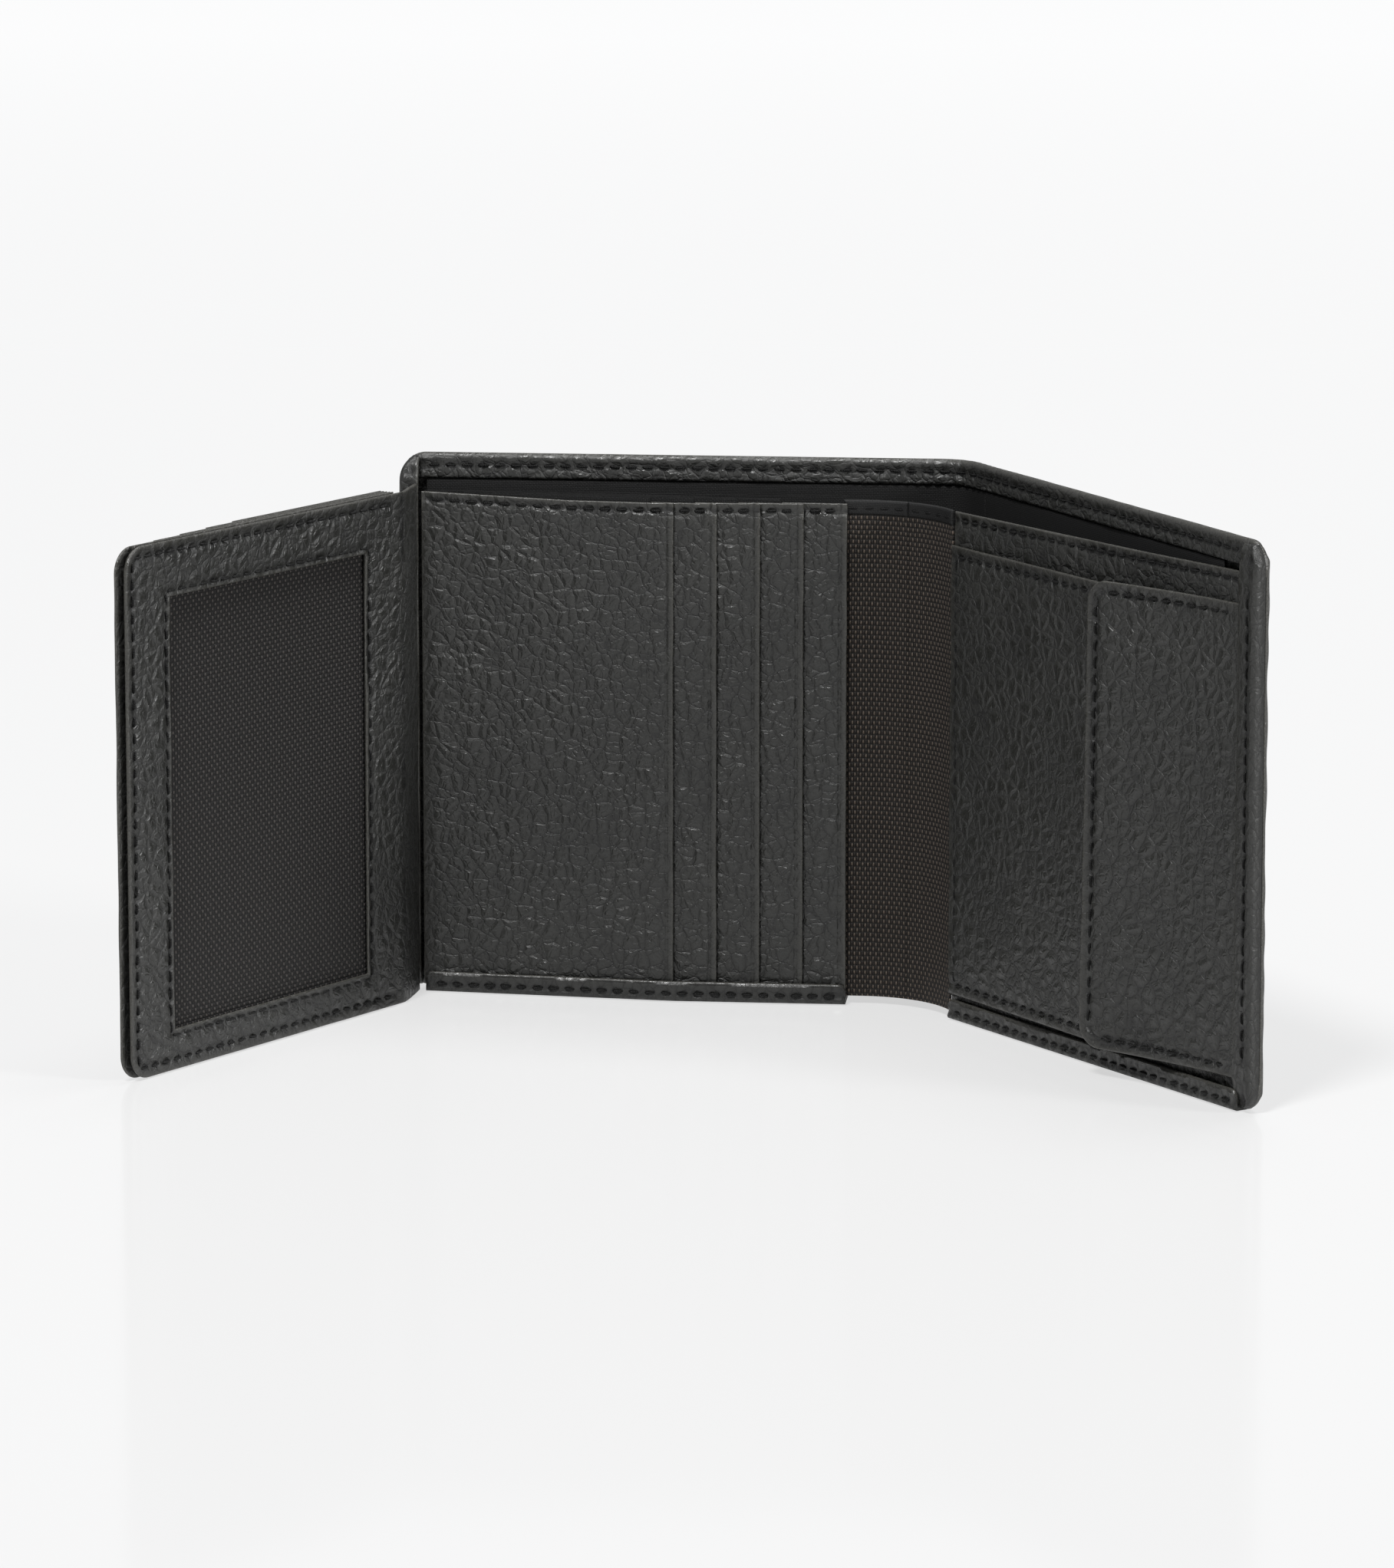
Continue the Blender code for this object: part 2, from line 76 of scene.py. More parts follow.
# Angles and lengths of the resting pose, as the design has them
FOLD_ANGLE = 57.9           # turn of the coin side's cover
COIN_ANGLE = 51.75          # turn of the coin panel
FLAP_ANGLE = 240.0          # heading of the identity flap from its crease
SPINE_ARM = 18.0            # from the corner of the fold to each crease
FOLD_RADIUS = 7.0           # bend of the spine's inner plane
INNER_Y = 8.6               # inner plane of the card side's cover
FOLD_X = 59.2
CARD_CREASE = (FOLD_X - SPINE_ARM, INNER_Y)
COVER_LEFT = -42.7
COVER_HEIGHT = 98.8
FRONT_LENGTH = 86.8         # from the second crease to the right seam
HEM = 3.7                   # height of the bottom hem
TOP_HEM = 4.5
HEM_THICK = 0.9
SHELL_THICK = 2.1           # cover leather with its turned edge
CORNER = 4.5
PANEL_BOTTOM = 1.2
PANEL_TOP = 92.3
FLAP_HEIGHT = 93.8
FLAP_LENGTH = 78.5
HINGE_STRIP = 10.2          # from the left seam to the identity flap's crease
WINDOW = (11.2, 66.5, 7.3, 83.9)
POCKET_PITCH = 7.85
POCKET_EDGES = [7.6 + POCKET_PITCH * number for number in range(5)]
POCKET_TURN = -math.degrees(math.asin(0.8 / POCKET_PITCH))
POCKET_THICK = 0.45
COIN_CORNER = (58.8, -9.4)
LEATHER = 0.7
FLAP_CREASE = (-40.45, -5.95)       # crease of the identity flap, at its bend
FLAP_START = (-40.5, -6.0)          # where the flap's flat layers are measured from
FLAP_WIDTH = 79.5
FIRST_POCKET_WIDTH = 46.5           # the front card pocket shows whole, the others as strips
POCKET_STRIP = 12.0
BACK_POCKETS = ((43.5, -4.7), (51.6, -4.0), (59.7, -3.3), (67.8, -2.6))    # edge and depth

# Leather details
GRID = 0.6                  # spacing of the leather's surface points
STITCH = 3.0                # pitch of the machine stitches
SEAM_INSET = 1.9            # from an edge to its row of stitches
CREASE_INSET = 1.3          # from a pocket's edge to its burnished line
COVER_SEAM = 2.2            # from the cover's edge to its row of stitches
CARD_SEAM = PANEL_TOP - 1.4
COIN_SEAM = PANEL_TOP - 1.5
THREAD_SUNK = 0.08          # how far a row of thread sits below the leather's face
BEND = 5.5                  # half the width of leather that bends at a crease

CAMERA_LENS = 181.5
CAMERA_DISTANCE = 1.4
CAMERA_AZIMUTH = 5.3
CAMERA_ELEVATION = 11.0
CAMERA_AIM = (-2.69, 5.38, -3.4)    # from the middle of the wallet's box
LIGHTS = (("key", (-0.30, -0.8, 1.5), 0.35, 27.0),      # name, place, size and power
          ("fill", (1.7, -0.6, 0.8), 0.5, 24.0),
          ("top", (0.3, 0.5, 1.7), 0.9, 14.0))
LIGHT_AIM = (0, 0, 0.05)
FLOOR_SIZE = 6.0
FLOOR_DROP = 0.0002         # below the wallet, so that the two don't share a plane

crease = joints["spine_fold"]["pos_m"]
ORIGIN = np.array([crease[0] / MM - CARD_CREASE[0], crease[1] / MM - CARD_CREASE[1], 0.0])


# ---------------------------------------------------------------- places

def heading(angle):
    """Unit direction in plan at an angle in degrees."""
    return np.array([math.cos(math.radians(angle)), math.sin(math.radians(angle))])


def flat_place(start, angle):
    """A map from a flat panel's u, v, w to plan; w grows to the left of the heading."""
    along = heading(angle)
    across = heading(angle + 90.0)

    def place(u, v, w):
        return np.stack([start[0] + along[0] * u + across[0] * w,
                         start[1] + along[1] * u + across[1] * w, v + 0.0 * u], -1)
    return place


def bent_place(points, radii):
    """A map along a plan route of straight runs and round corners; w grows to its left."""
    points = [np.array(point, float) for point in points]
    runs = []
    here = points[0]
    length = 0.0
    for corner, after, radius in zip(points[1:-1], points[2:], radii):
        into = (corner - here) / np.linalg.norm(corner - here)
        out = (after - corner) / np.linalg.norm(after - corner)
        turn = math.atan2(into[0] * out[1] - into[1] * out[0], into @ out)
        cut = radius * math.tan(abs(turn) / 2)
        straight = np.linalg.norm(corner - here) - cut
        runs.append((length, here, math.atan2(into[1], into[0]), 0.0))
        length += straight
        start = corner - into * cut
        runs.append((length, start, math.atan2(into[1], into[0]), math.copysign(1 / radius, turn)))
        length += radius * abs(turn)
        here = corner + out * cut
    last = points[-1] - here
    runs.append((length, here, math.atan2(last[1], last[0]), 0.0))
    starts = np.array([run[0] for run in runs])
    table = np.array([(*run[1], run[2], run[3]) for run in runs])

    def place(u, v, w):
        u = np.asarray(u, float)
        index = np.clip(np.searchsorted(starts, u, side="right") - 1, 0, len(runs) - 1)
        x0, y0, angle, bend = np.moveaxis(table[index], -1, 0)
        step = u - starts[index]
        turned = angle + bend * step
        safe = np.where(bend == 0, 1.0, bend)
        x = np.where(bend == 0, step * np.cos(angle), (np.sin(turned) - np.sin(angle)) / safe)
        y = np.where(bend == 0, step * np.sin(angle), (np.cos(angle) - np.cos(turned)) / safe)
        return np.stack([x0 + x - np.sin(turned) * w, y0 + y + np.cos(turned) * w, v + 0.0 * u], -1)
    place.length = length + np.linalg.norm(last)
    return place


def row_frame(points):
    """Plan millimetres to the row frame's metres."""
    return (points + ORIGIN) * MM


# ---------------------------------------------------------------- relief

def waves(seed, shortest, longest, count=26):
    """Smooth random relief between about -1 and 1, from a sum of plane waves."""
    random = np.random.default_rng(seed)
    size = np.exp(random.uniform(math.log(shortest), math.log(longest), count))
    turn = random.uniform(0, 2 * math.pi, count)
    phase = random.uniform(0, 2 * math.pi, count)
    share = size / np.sqrt((size ** 2).sum() / 2) / 1.6

    def relief(u, v):
        total = 0.0
        for wave, angle, start, height in zip(size, turn, phase, share):
            total = total + height * np.sin(
                2 * math.pi * (u * math.cos(angle) + v * math.sin(angle)) / wave + start)
        return total
    return relief


def groove(distance, width):
    """A rounded groove of depth 1 along the line where distance is zero."""
    return -np.exp(-(distance / width) ** 2)


def rounded_distance(u, v, box, radii):
    """Distance inward from the outline of a box with round corners: lower left, lower right, upper
    right and upper left."""
    u0, u1, v0, v1 = box
    middle_u, middle_v = (u0 + u1) / 2, (v0 + v1) / 2
    low, left = v < middle_v, u < middle_u
    radius = np.where(low, np.where(left, radii[0], radii[1]), np.where(left, radii[3], radii[2]))
    qu = np.abs(u - middle_u) - (u1 - u0) / 2 + radius
    qv = np.abs(v - middle_v) - (v1 - v0) / 2 + radius
    outside = np.hypot(np.maximum(qu, 0), np.maximum(qv, 0))
    return radius - outside - np.minimum(np.maximum(qu, qv), 0)


# ---------------------------------------------------------------- meshes

def stations(start, stop, step, edge, fine=()):
    """Positions from start to stop, close together at both rounded edges and round fine places."""
    ends = [edge * (1 - math.cos(math.radians(angle))) for angle in (0, 25, 50, 75, 100)]
    count = max(2, round((stop - start) / step))
    places = list(np.linspace(start, stop, count + 1))
    places += [start + end for end in ends] + [stop - end for end in ends]
    for spot in fine:
        places += [spot + offset for offset in (-0.6, -0.4, -0.25, -0.12, 0.12, 0.25, 0.4, 0.6)]
    places = [place for place in places if all(abs(place - spot) > 0.045 for spot in fine)]
    kept = []
    for place in sorted([*places, *fine]):
        if start - 1e-9 <= place <= stop + 1e-9 and (not kept or place - kept[-1] > 0.044):
            kept.append(place)
    kept[-1] = stop
    return np.array(kept)


def new_piece(name, points, faces, flat, finish, extra=None):
    """A mesh in the row frame, with its flat place and its finish kept for the materials."""
    mesh = bpy.data.meshes.new(name)
    mesh.from_pydata(row_frame(points).tolist(), [], faces)
    cut = np.array([37.0, 23.0, 0.0]) * (zlib.crc32(name.encode()) % 97) * (finish in hides)
    mesh.attributes.new("flat", "FLOAT_VECTOR", "POINT").data.foreach_set(
        "vector", (np.asarray(flat) + cut).astype(np.float32).ravel())
    # the finish attribute holds each point's rim, calm and share of painted shade
    if extra is not None:
        mesh.attributes.new("finish", "FLOAT_VECTOR", "POINT").data.foreach_set(
            "vector", np.asarray(extra, np.float32).ravel())
    mesh.materials.append(finish)
    mesh.shade_smooth()
    piece = bpy.data.objects.new(name, mesh)
    bpy.context.scene.collection.objects.link(piece)
    return piece


def grid_faces(index, flip=False):
    """Quads between the neighbours of a grid of point numbers."""
    corners = index[:-1, :-1], index[1:, :-1], index[1:, 1:], index[:-1, 1:]
    quads = np.stack(corners, -1).reshape(-1, 4)
    return quads[:, ::-1] if flip else quads


def groove_shade(relief):
    """How far relief lies in a groove, from 0 to 1: the share of painted shade the leather gets
    there.
    """
    return np.clip((-relief - 0.17) / 0.16, 0, 1)


def corner_inset(depth, radius):
    """How far a round corner draws an edge in, at a distance from the corner's other edge."""
    rise = np.clip(radius - depth, 0, radius)
    return radius - np.sqrt(np.maximum(radius ** 2 - rise ** 2, 0))


def slab(name, place, box, depth, finish, radii=(0, 0, 0, 0), edge=None, front=None, back=None,
         fine_u=(), fine_v=(), step=GRID, hole=None):
    """A sheet between two depths, with rounded edges; front and back add relief to its faces."""
    u0, u1, v0, v1 = box
    w0, w1 = depth
    edge = edge or (w1 - w0) / 2
    if hole:
        fine_u = (*fine_u, *hole[:2])
        fine_v = (*fine_v, *hole[2:])
    v_list = stations(v0, v1, step, edge, fine_v)
    rounds = [r * (1 - math.cos(math.radians(a))) for r in set(radii) if r for a in range(6, 96, 9)]
    v_list = np.unique(np.round([*v_list, *[v0 + s for s in rounds], *[v1 - s for s in rounds]], 4))
    base = stations(u0, u1, step, edge, fine_u)
    low = v_list < (v0 + v1) / 2
    depth_in = np.where(low, v_list - v0, v1 - v_list)
    left = corner_inset(depth_in, np.where(low, radii[0], radii[3]))
    right = corner_inset(depth_in, np.where(low, radii[1], radii[2]))
    reach = 6.0
    near = 1 - np.clip((base - u0) / reach, 0, 1)
    far = 1 - np.clip((u1 - base) / reach, 0, 1)
    u = base[None, :] + left[:, None] * near[None, :] - right[:, None] * far[None, :]
    v = np.repeat(v_list[:, None], len(base), 1)
    inward = np.maximum(rounded_distance(u, v, box, radii), 0)
    shared = np.ones(u.shape, bool)
    shared[1:-1, 1:-1] = False
    if hole:
        outside = -rounded_distance(u, v, hole, (0, 0, 0, 0))
        shared |= np.abs(outside) < 0.02
        inward = np.minimum(inward, np.maximum(outside, 0))
    inward[shared] = 0
    full = np.where(inward < edge, np.sqrt(np.maximum(1 - (1 - inward / edge) ** 2, 0)), 1.0)
    middle, half = (w0 + w1) / 2, (w1 - w0) / 2
    raised = [full * shape(u, v, inward) if shape else 0 * u for shape in (front, back)]
    w_front = middle - half * full - raised[0]
    w_back = middle + half * full + raised[1]
    index = np.arange(u.size).reshape(u.shape)
    other = index.copy()
    other[~shared] = u.size + np.arange((~shared).sum())
    quads = np.concatenate([grid_faces(index, True), grid_faces(other)])
    both = [np.concatenate([a.ravel(), a[~shared]]) for a in (u, v, inward)]
    side = np.concatenate([w_front.ravel(), w_back[~shared]])
    groove_shade_share = groove_shade(np.concatenate([raised[0].ravel(), raised[1][~shared]]))
    points = place(both[0], both[1], side)
    if hole:
        at_u, at_v = both[0][quads].mean(1), both[1][quads].mean(1)
        inside = (at_u > hole[0]) & (at_u < hole[1]) & (at_v > hole[2]) & (at_v < hole[3])
        quads = quads[~inside]
    used, numbers = np.unique(quads, return_inverse=True)
    quads = numbers.reshape(quads.shape)
    flat = np.stack([both[0], both[1], side], -1)[used]
    # rim, calm and share of painted shade for the materials
    extra = np.stack([np.exp(-both[2] / 0.45), np.exp(-both[2] / 1.8), groove_shade_share], -1)
    return new_piece(name, points[used], quads.tolist(), flat, finish, extra[used])


def sweep(name, rings, flats, finish, caps=(True, True), extra=None):
    """A closed skin over a row of equal rings of plan points, with an end cap where asked."""
    rings = np.asarray(rings, float)
    count, size, _ = rings.shape
    index = np.arange(count * size).reshape(count, size)
    index = np.concatenate([index, index[:, :1]], 1)
    faces = grid_faces(index).tolist()
    if caps[0]:
        faces.append(index[0, -2::-1].tolist())
    if caps[1]:
        faces.append(index[-1, :-1].tolist())
    piece = new_piece(name, rings.reshape(-1, 3), faces, np.reshape(flats, (-1, 3)), finish,
                      None if extra is None else np.reshape(extra, (-1, 3)))
    outward(piece)
    return piece


def outward(piece):
    """Turns a piece's faces outward."""
    shape = bmesh.new()
    shape.from_mesh(piece.data)
    bmesh.ops.recalc_face_normals(shape, faces=shape.faces)
    shape.to_mesh(piece.data)
    shape.free()


# ---------------------------------------------------------------- materials

class Nodes:
    """Short calls for the node tree of one material."""

    def __init__(self, name):
        self.material = bpy.data.materials.new(name)
        self.material.use_nodes = True
        self.tree = self.material.node_tree
        self.shader = self.tree.nodes["Principled BSDF"]

    def feed(self, socket, value):
        if isinstance(value, bpy.types.NodeSocket):
            self.tree.links.new(value, socket)
        else:
            socket.default_value = value

    def add(self, kind, settings=None, **inputs):
        item = self.tree.nodes.new("ShaderNode" + kind)
        for key, value in (settings or {}).items():
            setattr(item, key, value)
        for key, value in inputs.items():
            self.feed(item.inputs[key.replace("_", " ")], value)
        return item

    def math(self, operation, a, b=0.0):
        item = self.tree.nodes.new("ShaderNodeMath")
        item.operation = operation
        self.feed(item.inputs[0], a)
        self.feed(item.inputs[1], b)
        return item.outputs[0]

    def vector(self, operation, a, b):
        item = self.tree.nodes.new("ShaderNodeVectorMath")
        item.operation = operation
        self.feed(item.inputs[0], a)
        self.feed(item.inputs[1], b)
        return item.outputs[0]

    def ramp(self, value, low, high, start=0.0, stop=1.0):
        item = self.tree.nodes.new("ShaderNodeMapRange")
        item.interpolation_type = "SMOOTHSTEP"
        for socket, number in zip(item.inputs[:5], (value, low, high, start, stop)):
            self.feed(socket, number)
        return item.outputs[0]

    def blend(self, share, a, b):
        item = self.tree.nodes.new("ShaderNodeMix")
        item.data_type = "RGBA"
        for socket, value in zip((item.inputs[0], item.inputs[6], item.inputs[7]), (share, a, b)):
            self.feed(socket, value)
        return item.outputs[2]

    def surface(self, **inputs):
        """Values or links for the shader's inputs."""
        for key, value in inputs.items():
            self.feed(self.shader.inputs[key.replace("_", " ")], value)

    def bump(self, height, distance):
        item = self.add("Bump", Height=height, Distance=distance, Strength=1.0)
        self.feed(self.shader.inputs["Normal"], item.outputs[0])


def sheet_place(make):
    """A point's place on its own flat sheet, in millimetres."""
    return make.add("Attribute", {"attribute_name": "flat"}).outputs["Vector"]


def solid_place(make):
    """A point's place in its object, in millimetres."""
    return make.vector("MULTIPLY", make.add("TexCoord").outputs["Object"], (1 / MM, 1 / MM, 1 / MM))


def leather_finish(name, cell=2.7, depth=0.30, stretch=(1.0, 1.0, 1.0)):
    """Pebbled black leather: domed cells with fine creases between them, wrinkles and pores."""
    make = Nodes(name)
    place = sheet_place(make)
    finish = make.add("Attribute", {"attribute_name": "finish"}).outputs["Vector"]
    parts = make.add("SeparateXYZ", Vector=finish)
    rim, calm, groove_shade_share = parts.outputs
    drift = make.add("TexNoise", Vector=place, Scale=0.30, Detail=2.0).outputs["Color"]
    drift = make.vector("SUBTRACT", drift, (0.5, 0.5, 0.5))
    drift = make.vector("MULTIPLY", drift, (1.5, 1.5, 1.5))
    warped = make.vector("MULTIPLY", make.vector("ADD", place, drift), stretch)
    cells = make.add("TexVoronoi", {"feature": "DISTANCE_TO_EDGE"}, Vector=warped, Scale=1 / cell)
    edge = cells.outputs["Distance"]
    dome = make.ramp(edge, 0.0, 0.34)
    crease_line = make.ramp(edge, 0.0, 0.07)
    small = make.add("TexVoronoi", {"feature": "DISTANCE_TO_EDGE"}, Vector=warped, Scale=2.1 / cell)
    wrinkle = make.ramp(small.outputs["Distance"], 0.0, 0.20)
    pores = make.add("TexNoise", Vector=place, Scale=3.0, Detail=4.0).outputs["Fac"]
    patch = make.add("TexNoise", Vector=place, Scale=0.07, Detail=2.0).outputs["Fac"]
    pebble = make.math("MULTIPLY", dome, make.ramp(patch, 0.3, 0.7, 0.45, 1.0))
    raised = make.math("ADD", pebble, make.math("MULTIPLY", crease_line, 0.22))
    raised = make.math("ADD", raised, make.math("MULTIPLY", wrinkle, 0.22))
    raised = make.math("MULTIPLY", raised, make.ramp(calm, 0.0, 1.0, 1.0, 0.35))
    make.bump(make.math("ADD", raised, make.math("MULTIPLY", pores, 0.16)), depth * MM)
    # painted shade: the fine creases between the pebbles are coloured darker than the pebbles' faces
    colour = make.blend(crease_line, (0.0040, 0.0040, 0.0036, 1), (0.0135, 0.0137, 0.0122, 1))
    colour = make.blend(make.ramp(patch, 0.35, 0.8, 0.0, 0.5), colour, (0.0195, 0.0195, 0.0172, 1))
    # partly real wear, partly painted highlight: rims near the edges coloured much lighter, broken up
    # by the pores
    wear_and_highlight = make.math("MULTIPLY", rim, make.ramp(pores, 0.35, 0.65, 0.45, 1.0))
    colour = make.blend(make.math("MULTIPLY", wear_and_highlight, 0.38), colour, (0.115, 0.110, 0.095, 1))
    # painted shade: leather coloured darker where its relief lies in a groove, along seams and hems
    colour = make.blend(make.math("MULTIPLY", groove_shade_share, 0.8), colour, (0.0030, 0.0030, 0.0028, 1))
    rough = make.math("ADD", make.ramp(dome, 0.0, 1.0, 0.52, 0.33),
                      make.math("MULTIPLY", pores, 0.10))
    rough = make.math("SUBTRACT", rough, make.math("MULTIPLY", rim, 0.1))
    make.surface(Base_Color=colour, Roughness=rough, Specular_IOR_Level=0.62)
    return make.material


def weave_finish(name, yarn, warp, weft, depth, on_sheet=True):
    """Plain weave: beads of warp and weft by turns, with gaps between the yarns painted near-black as
    shade.
    """
    make = Nodes(name)
    if on_sheet:
        place = sheet_place(make)
    else:
        place = solid_place(make)
    wobble = make.add("TexNoise", Vector=place, Scale=0.35, Detail=2.0).outputs["Color"]
    wobble = make.vector("SUBTRACT", wobble, (0.5, 0.5, 0.5))
    wobble = make.vector("MULTIPLY", wobble, (0.25, 0.25, 0.0))
    parts = make.add("SeparateXYZ", Vector=make.vector("ADD", place, wobble))
    across = parts.outputs[0] if on_sheet else make.math("ADD", parts.outputs[0], parts.outputs[1])
    up = parts.outputs[1] if on_sheet else parts.outputs[2]
    a = make.math("SINE", make.math("MULTIPLY", across, math.pi / yarn[0]))
    b = make.math("SINE", make.math("MULTIPLY", up, math.pi / yarn[1]))
    turn = make.math("MULTIPLY", a, b)
    over = make.math("POWER", make.math("MAXIMUM", turn, 0.0), 0.6)
    under = make.math("POWER", make.math("MAXIMUM", make.math("MULTIPLY", turn, -1.0), 0.0), 0.6)
    fibres = make.add("TexNoise", Vector=make.vector("MULTIPLY", place, (3.0, 14.0, 3.0)), Scale=1.0,
                      Detail=2.0).outputs["Fac"]
    height = make.math("ADD", over, make.math("MULTIPLY", under, 0.6))
    height = make.math("ADD", height, make.math("MULTIPLY", fibres, 0.25))
    make.bump(height, depth * MM)
    # painted shade: the gaps between the yarns and the yarns' sides are coloured near-black
    gap_shade = tuple(0.08 * value for value in warp[:3]) + (1,)
    colour = make.blend(make.ramp(over, 0.30, 0.95), gap_shade, warp)
    colour = make.blend(make.ramp(under, 0.25, 0.95), colour, weft)
    shade = make.ramp(fibres, 0.3, 0.7, 0.75, 1.0)
    colour = make.blend(shade, (0.0, 0.0, 0.0, 1), colour)
    make.surface(Base_Color=colour, Roughness=make.ramp(fibres, 0.2, 0.8, 0.55, 0.8),
                 Specular_IOR_Level=0.35)
    return make.material


def thread_finish():
    """Waxed black thread, twisted along its stitches."""
    make = Nodes("thread")
    place = sheet_place(make)
    twist = make.add("TexWave", {"bands_direction": "DIAGONAL"}, Vector=place, Scale=1.6,
                     Distortion=0.6)
    make.bump(twist.outputs["Fac"], 0.05 * MM)
    # painted shade and highlight: the thread is coloured darker in the twist's grooves and lighter on
    # its crowns
    colour = make.blend(twist.outputs["Fac"], (0.0015, 0.0015, 0.0015, 1),
                        (0.0045, 0.0045, 0.0042, 1))
    make.surface(Base_Color=colour, Specular_IOR_Level=0.25,
                 Roughness=make.ramp(twist.outputs["Fac"], 0.0, 1.0, 0.7, 0.5))
    return make.material


def metal_finish():
    """Dark nickel with fine turning marks."""
    make = Nodes("snap_nickel")
    place = solid_place(make)
    marks = make.add("TexNoise", Vector=place, Scale=1.5, Detail=5.0).outputs["Fac"]
    make.surface(Base_Color=make.blend(marks, (0.30, 0.29, 0.28, 1), (0.42, 0.41, 0.40, 1)),
                 Metallic=1.0, Roughness=make.ramp(marks, 0.3, 0.7, 0.22, 0.38))
    make.bump(marks, 0.02 * MM)
    return make.material


# ---------------------------------------------------------------- stage

def stage():
    """Pale floor, soft lights and the camera."""
    make = Nodes("pale_floor")
    split = make.add("SeparateXYZ", Vector=make.add("TexCoord").outputs["Object"])
    glow = make.add("MapRange", Value=split.outputs[1], From_Min=-1.0, From_Max=1.8,
                    To_Min=0.51, To_Max=0.77)
    make.surface(Base_Color=(0.20, 0.20, 0.20, 1), Roughness=0.10, Specular_IOR_Level=0.12,
                 Emission_Color=(1.0, 1.0, 1.0, 1), Emission_Strength=glow.outputs[0])
    mesh = bpy.data.meshes.new("floor")
    corners = ((-1, -1), (1, -1), (1, 1), (-1, 1))
    mesh.from_pydata([(x * FLOOR_SIZE, y * FLOOR_SIZE, 0) for x, y in corners], [], [(0, 1, 2, 3)])
    mesh.materials.append(make.material)
    floor = bpy.data.objects.new("floor", mesh)
    floor.location.z = -FLOOR_DROP
    bpy.context.scene.collection.objects.link(floor)

    world = bpy.data.worlds.new("studio")
    world.use_nodes = True
    world.node_tree.nodes["Background"].inputs["Color"].default_value = (0.97, 0.98, 1.0, 1)
    world.node_tree.nodes["Background"].inputs["Strength"].default_value = 0.30
    bpy.context.scene.world = world
    aim = Vector(LIGHT_AIM)
    for name, place, size, power in LIGHTS:
        lamp = bpy.data.lights.new(name, "AREA")
        lamp.shape = "DISK"
        lamp.size = size
        lamp.energy = power
        item = bpy.data.objects.new(name, lamp)
        item.location = place
        item.rotation_euler = (aim - item.location).to_track_quat("-Z", "Y").to_euler()
        bpy.context.scene.collection.objects.link(item)

    camera = bpy.data.cameras.new("camera")
    camera.sensor_width = 36.0
    camera.lens = CAMERA_LENS
    item = bpy.data.objects.new("camera", camera)
    low, high = cad_box
    target = (low + high) / 2 + Vector(CAMERA_AIM) * MM
    turn, rise = math.radians(CAMERA_AZIMUTH), math.radians(CAMERA_ELEVATION)
    back = Vector((math.sin(turn) * math.cos(rise), -math.cos(turn) * math.cos(rise), math.sin(rise)))
    item.location = target + back * CAMERA_DISTANCE
    item.rotation_euler = (-back).to_track_quat("-Z", "Y").to_euler()
    bpy.context.scene.collection.objects.link(item)
    bpy.context.scene.camera = item
    bpy.context.scene.view_settings.view_transform = "Standard"


# ---------------------------------------------------------------- stitches

def stitches(name, place, runs, side, depth):
    """Thread along flat runs of u, v points; every stitch dips into the leather at both ends."""
    random = np.random.default_rng(len(name))
    points, flat, faces = [], [], []
    along = np.linspace(-1, 1, 9)[:, None]
    angle = np.linspace(0, 2 * math.pi, 9)[None, :-1]
    for run in runs:
        run = np.array(run, float)
        lengths = np.linalg.norm(np.diff(run, axis=0), axis=1)
        total = lengths.sum()
        count = max(1, round(total / STITCH))
        marks = np.concatenate([[0], np.cumsum(lengths)])
        for number in range(count):
            spot = (number + 0.5) * total / count
            u, v = np.interp(spot, marks, run[:, 0]), np.interp(spot, marks, run[:, 1])
            ahead = min(np.searchsorted(marks, spot), len(lengths)) - 1
            turn = math.atan2(*(run[ahead + 1] - run[ahead])[::-1]) + random.normal(0, 0.05)
            reach = along * 1.1 * random.uniform(0.94, 1.04)
            radius = 0.21 * np.sqrt(np.maximum(1 - along ** 6, 0.02))
            sideways = radius * np.cos(angle)
            rise = 0.06 - 0.34 * along ** 4 + radius * np.sin(angle)
            uu = u + reach * math.cos(turn) - sideways * math.sin(turn)
            vv = v + reach * math.sin(turn) + sideways * math.cos(turn)
            ww = depth + side * rise + 0 * uu
            index = np.arange(uu.size).reshape(uu.shape) + len(points) * uu.size
            index = np.concatenate([index, index[:, :1]], 1)
            faces += grid_faces(index, side < 0).tolist()
            points.append(place(uu.ravel(), vv.ravel(), ww.ravel()))
            flat.append(np.stack([uu.ravel(), vv.ravel(), ww.ravel()], -1))
    piece = new_piece(name, np.concatenate(points), faces, np.concatenate(flat), thread)
    outward(piece)
    return piece


def seam_relief(distance, run):
    """Leather drawn down along a row of stitches, deeper at each hole."""
    return 0.30 * groove(distance, 0.70) * (1 + 0.4 * np.cos(2 * math.pi * run / STITCH))


def border(box, inset, sides="bltr"):
    """Straight runs of stitches inside the sides of a box: bottom, left, top, right."""
    u0, u1, v0, v1 = box
    a, b, c, d = u0 + inset, u1 - inset, v0 + inset, v1 - inset
    runs = {"b": [(a, c), (b, c)], "l": [(a, c), (a, d)],
            "t": [(a, d), (b, d)], "r": [(b, c), (b, d)]}
    return [runs[key] for key in sides]


# ---------------------------------------------------------------- pieces

